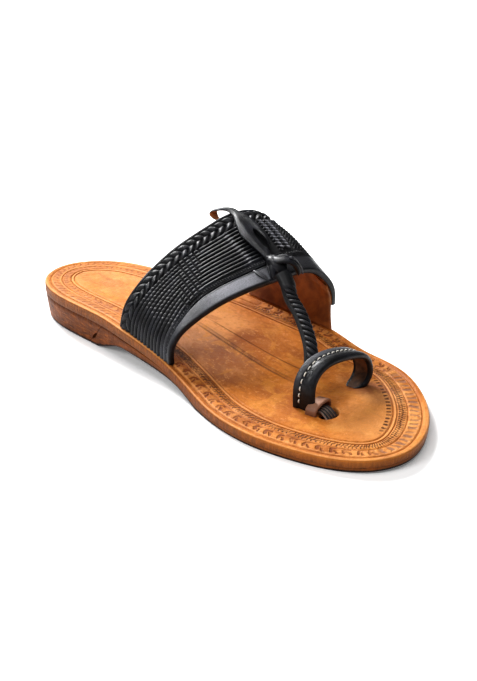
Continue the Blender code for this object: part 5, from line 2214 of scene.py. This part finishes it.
def build_bridge():
    """A low arch of tan leather behind the hole."""
    front = 1.5 - HOLE_LENGTH / 2.0
    shares, walls = strip_section(BRIDGE_EDGE, 1.0 - BRIDGE_EDGE, 8, 8, BRIDGE_EDGE, BRIDGE_EDGE, 6)
    sections = []
    for angle in np.linspace(0.0, math.pi, BRIDGE_ROWS):
        steep = max(math.sin(angle), 0.0)
        sideways = -(HOLE_WIDTH / 2.0 - 2.0 * SEAM_GAP + BRIDGE_WALL * walls) * math.cos(angle)
        up = (BRIDGE_RISE - BRIDGE_WALL) * (0.88 + 0.12 * shares) * steep ** 0.45
        across, station = hole_place(sideways, front - BRIDGE_LENGTH * (1.0 - shares))
        height = top_height(station) + 0.1 + up + BRIDGE_WALL * walls * steep ** 0.6
        sections.append(np.column_stack([across, station, height]))
    points, faces = bar_mesh(sections)
    return make_piece("toe_bridge_leather", points, faces, [tab_leather], ["toe_bridge"])


bridge = build_bridge()
print("bridge faces", len(bridge.data.polygons))

# %% [markdown]
# The ends of the plait pass under the bridge and dive into the hole. They are four flat
# strips, side by side, and their pale cut edges show between them.

# %% Plait ends
BRAID_ENDS = 4
BRAID_END_WIDTH = 2.3
BRAID_END_THICKNESS = 1.4
BRAID_ROWS = 20
BRAID_SIDES = 16
CUT_SIDES = (0, 1, 6, 7, 8, 15)


def plait_end(offset):
    """One strip, from behind the bridge down into the hole."""
    level = float(top_height(HOLE_STATION))
    lying = level + SEAM_GAP + BRAID_END_THICKNESS / 2.0
    start = -HOLE_LENGTH / 2.0 - 1.5
    spine = []
    for spread, forward, height in (
        (0.90, 0.0, lying),
        (1.00, 3.2, lying + 0.2),
        (1.05, 6.0, level - 0.1 * INSOLE_AT_TOE),
        (1.10, 8.0, level - 0.6 * INSOLE_AT_TOE),
    ):
        spine.append((*hole_place(offset * spread, start + forward), height))
    path = smooth_path(spine, BRAID_ROWS)
    turn = full_turn(BRAID_SIDES)
    flat = np.outer(squared(np.cos(turn), 0.5) * BRAID_END_WIDTH * 0.37, (1.0, 0.0, 0.0))
    thick = squared(np.sin(turn), 0.5)[:, None] * BRAID_END_THICKNESS / 2.0
    highs = unit(np.cross((1.0, 0.0, 0.0), directions(path)))
    return bar_mesh([centre + flat + thick * high for centre, high in zip(path, highs)])


def build_plait_ends():
    """All strips as one piece, with pale cut edges."""
    middle = (BRAID_ENDS - 1) / 2.0
    parts = [plait_end((index - middle) * BRAID_END_WIDTH * 0.92) for index in range(BRAID_ENDS)]
    points, faces = join_meshes(parts)
    picks = [int(len(face) == 4 and face[0] % BRAID_SIDES in CUT_SIDES) for face in faces]
    finishes = [grey_strip, pale_cut]
    return make_piece("plait_ends", points, faces, finishes, ["braid_ends"], picks=picks)


plait_ends = build_plait_ends()
print("plait ends faces", len(plait_ends.data.polygons))

# %% [markdown]
# ## Floor
# A wide pale sheet catches the soft shadow. It is part of the stage, not of the sandal.
# It glows a little, and more with distance, so that it runs over into the white surround.

# %% Floor sheet
FLOOR_REACH = 6.0
GLOW_NEAR = 0.13
GLOW_FAR = 0.85

floor_mesh = bpy.data.meshes.new("floor")
corners = [(x * FLOOR_REACH, y * FLOOR_REACH, 0.0) for x, y in ((-1, -1), (1, -1), (1, 1), (-1, 1))]
floor_mesh.from_pydata(corners, [], [(0, 1, 2, 3)])
paper = Leather("pale_paper", Roughness=0.9, Emission_Strength=1.0, Specular_IOR_Level=0.0)
paper.shader.inputs["Base Color"].default_value = (0.90, 0.90, 0.90, 1.0)
floor_across, floor_station, _ = paper.place()
away_from_sole = (floor_across ** 2.0 + (floor_station - SOLE_LENGTH / 2.0) ** 2.0).root()
glow = paper.blend(away_from_sole.rise(250.0, 1200.0), (GLOW_NEAR,) * 3, (GLOW_FAR,) * 3)
paper.feed("Emission Color", glow)
floor_mesh.materials.append(paper.material)
floor = bpy.data.objects.new("floor", floor_mesh)
bpy.context.scene.collection.objects.link(floor)
print("floor sheet is", 2 * FLOOR_REACH, "m wide")
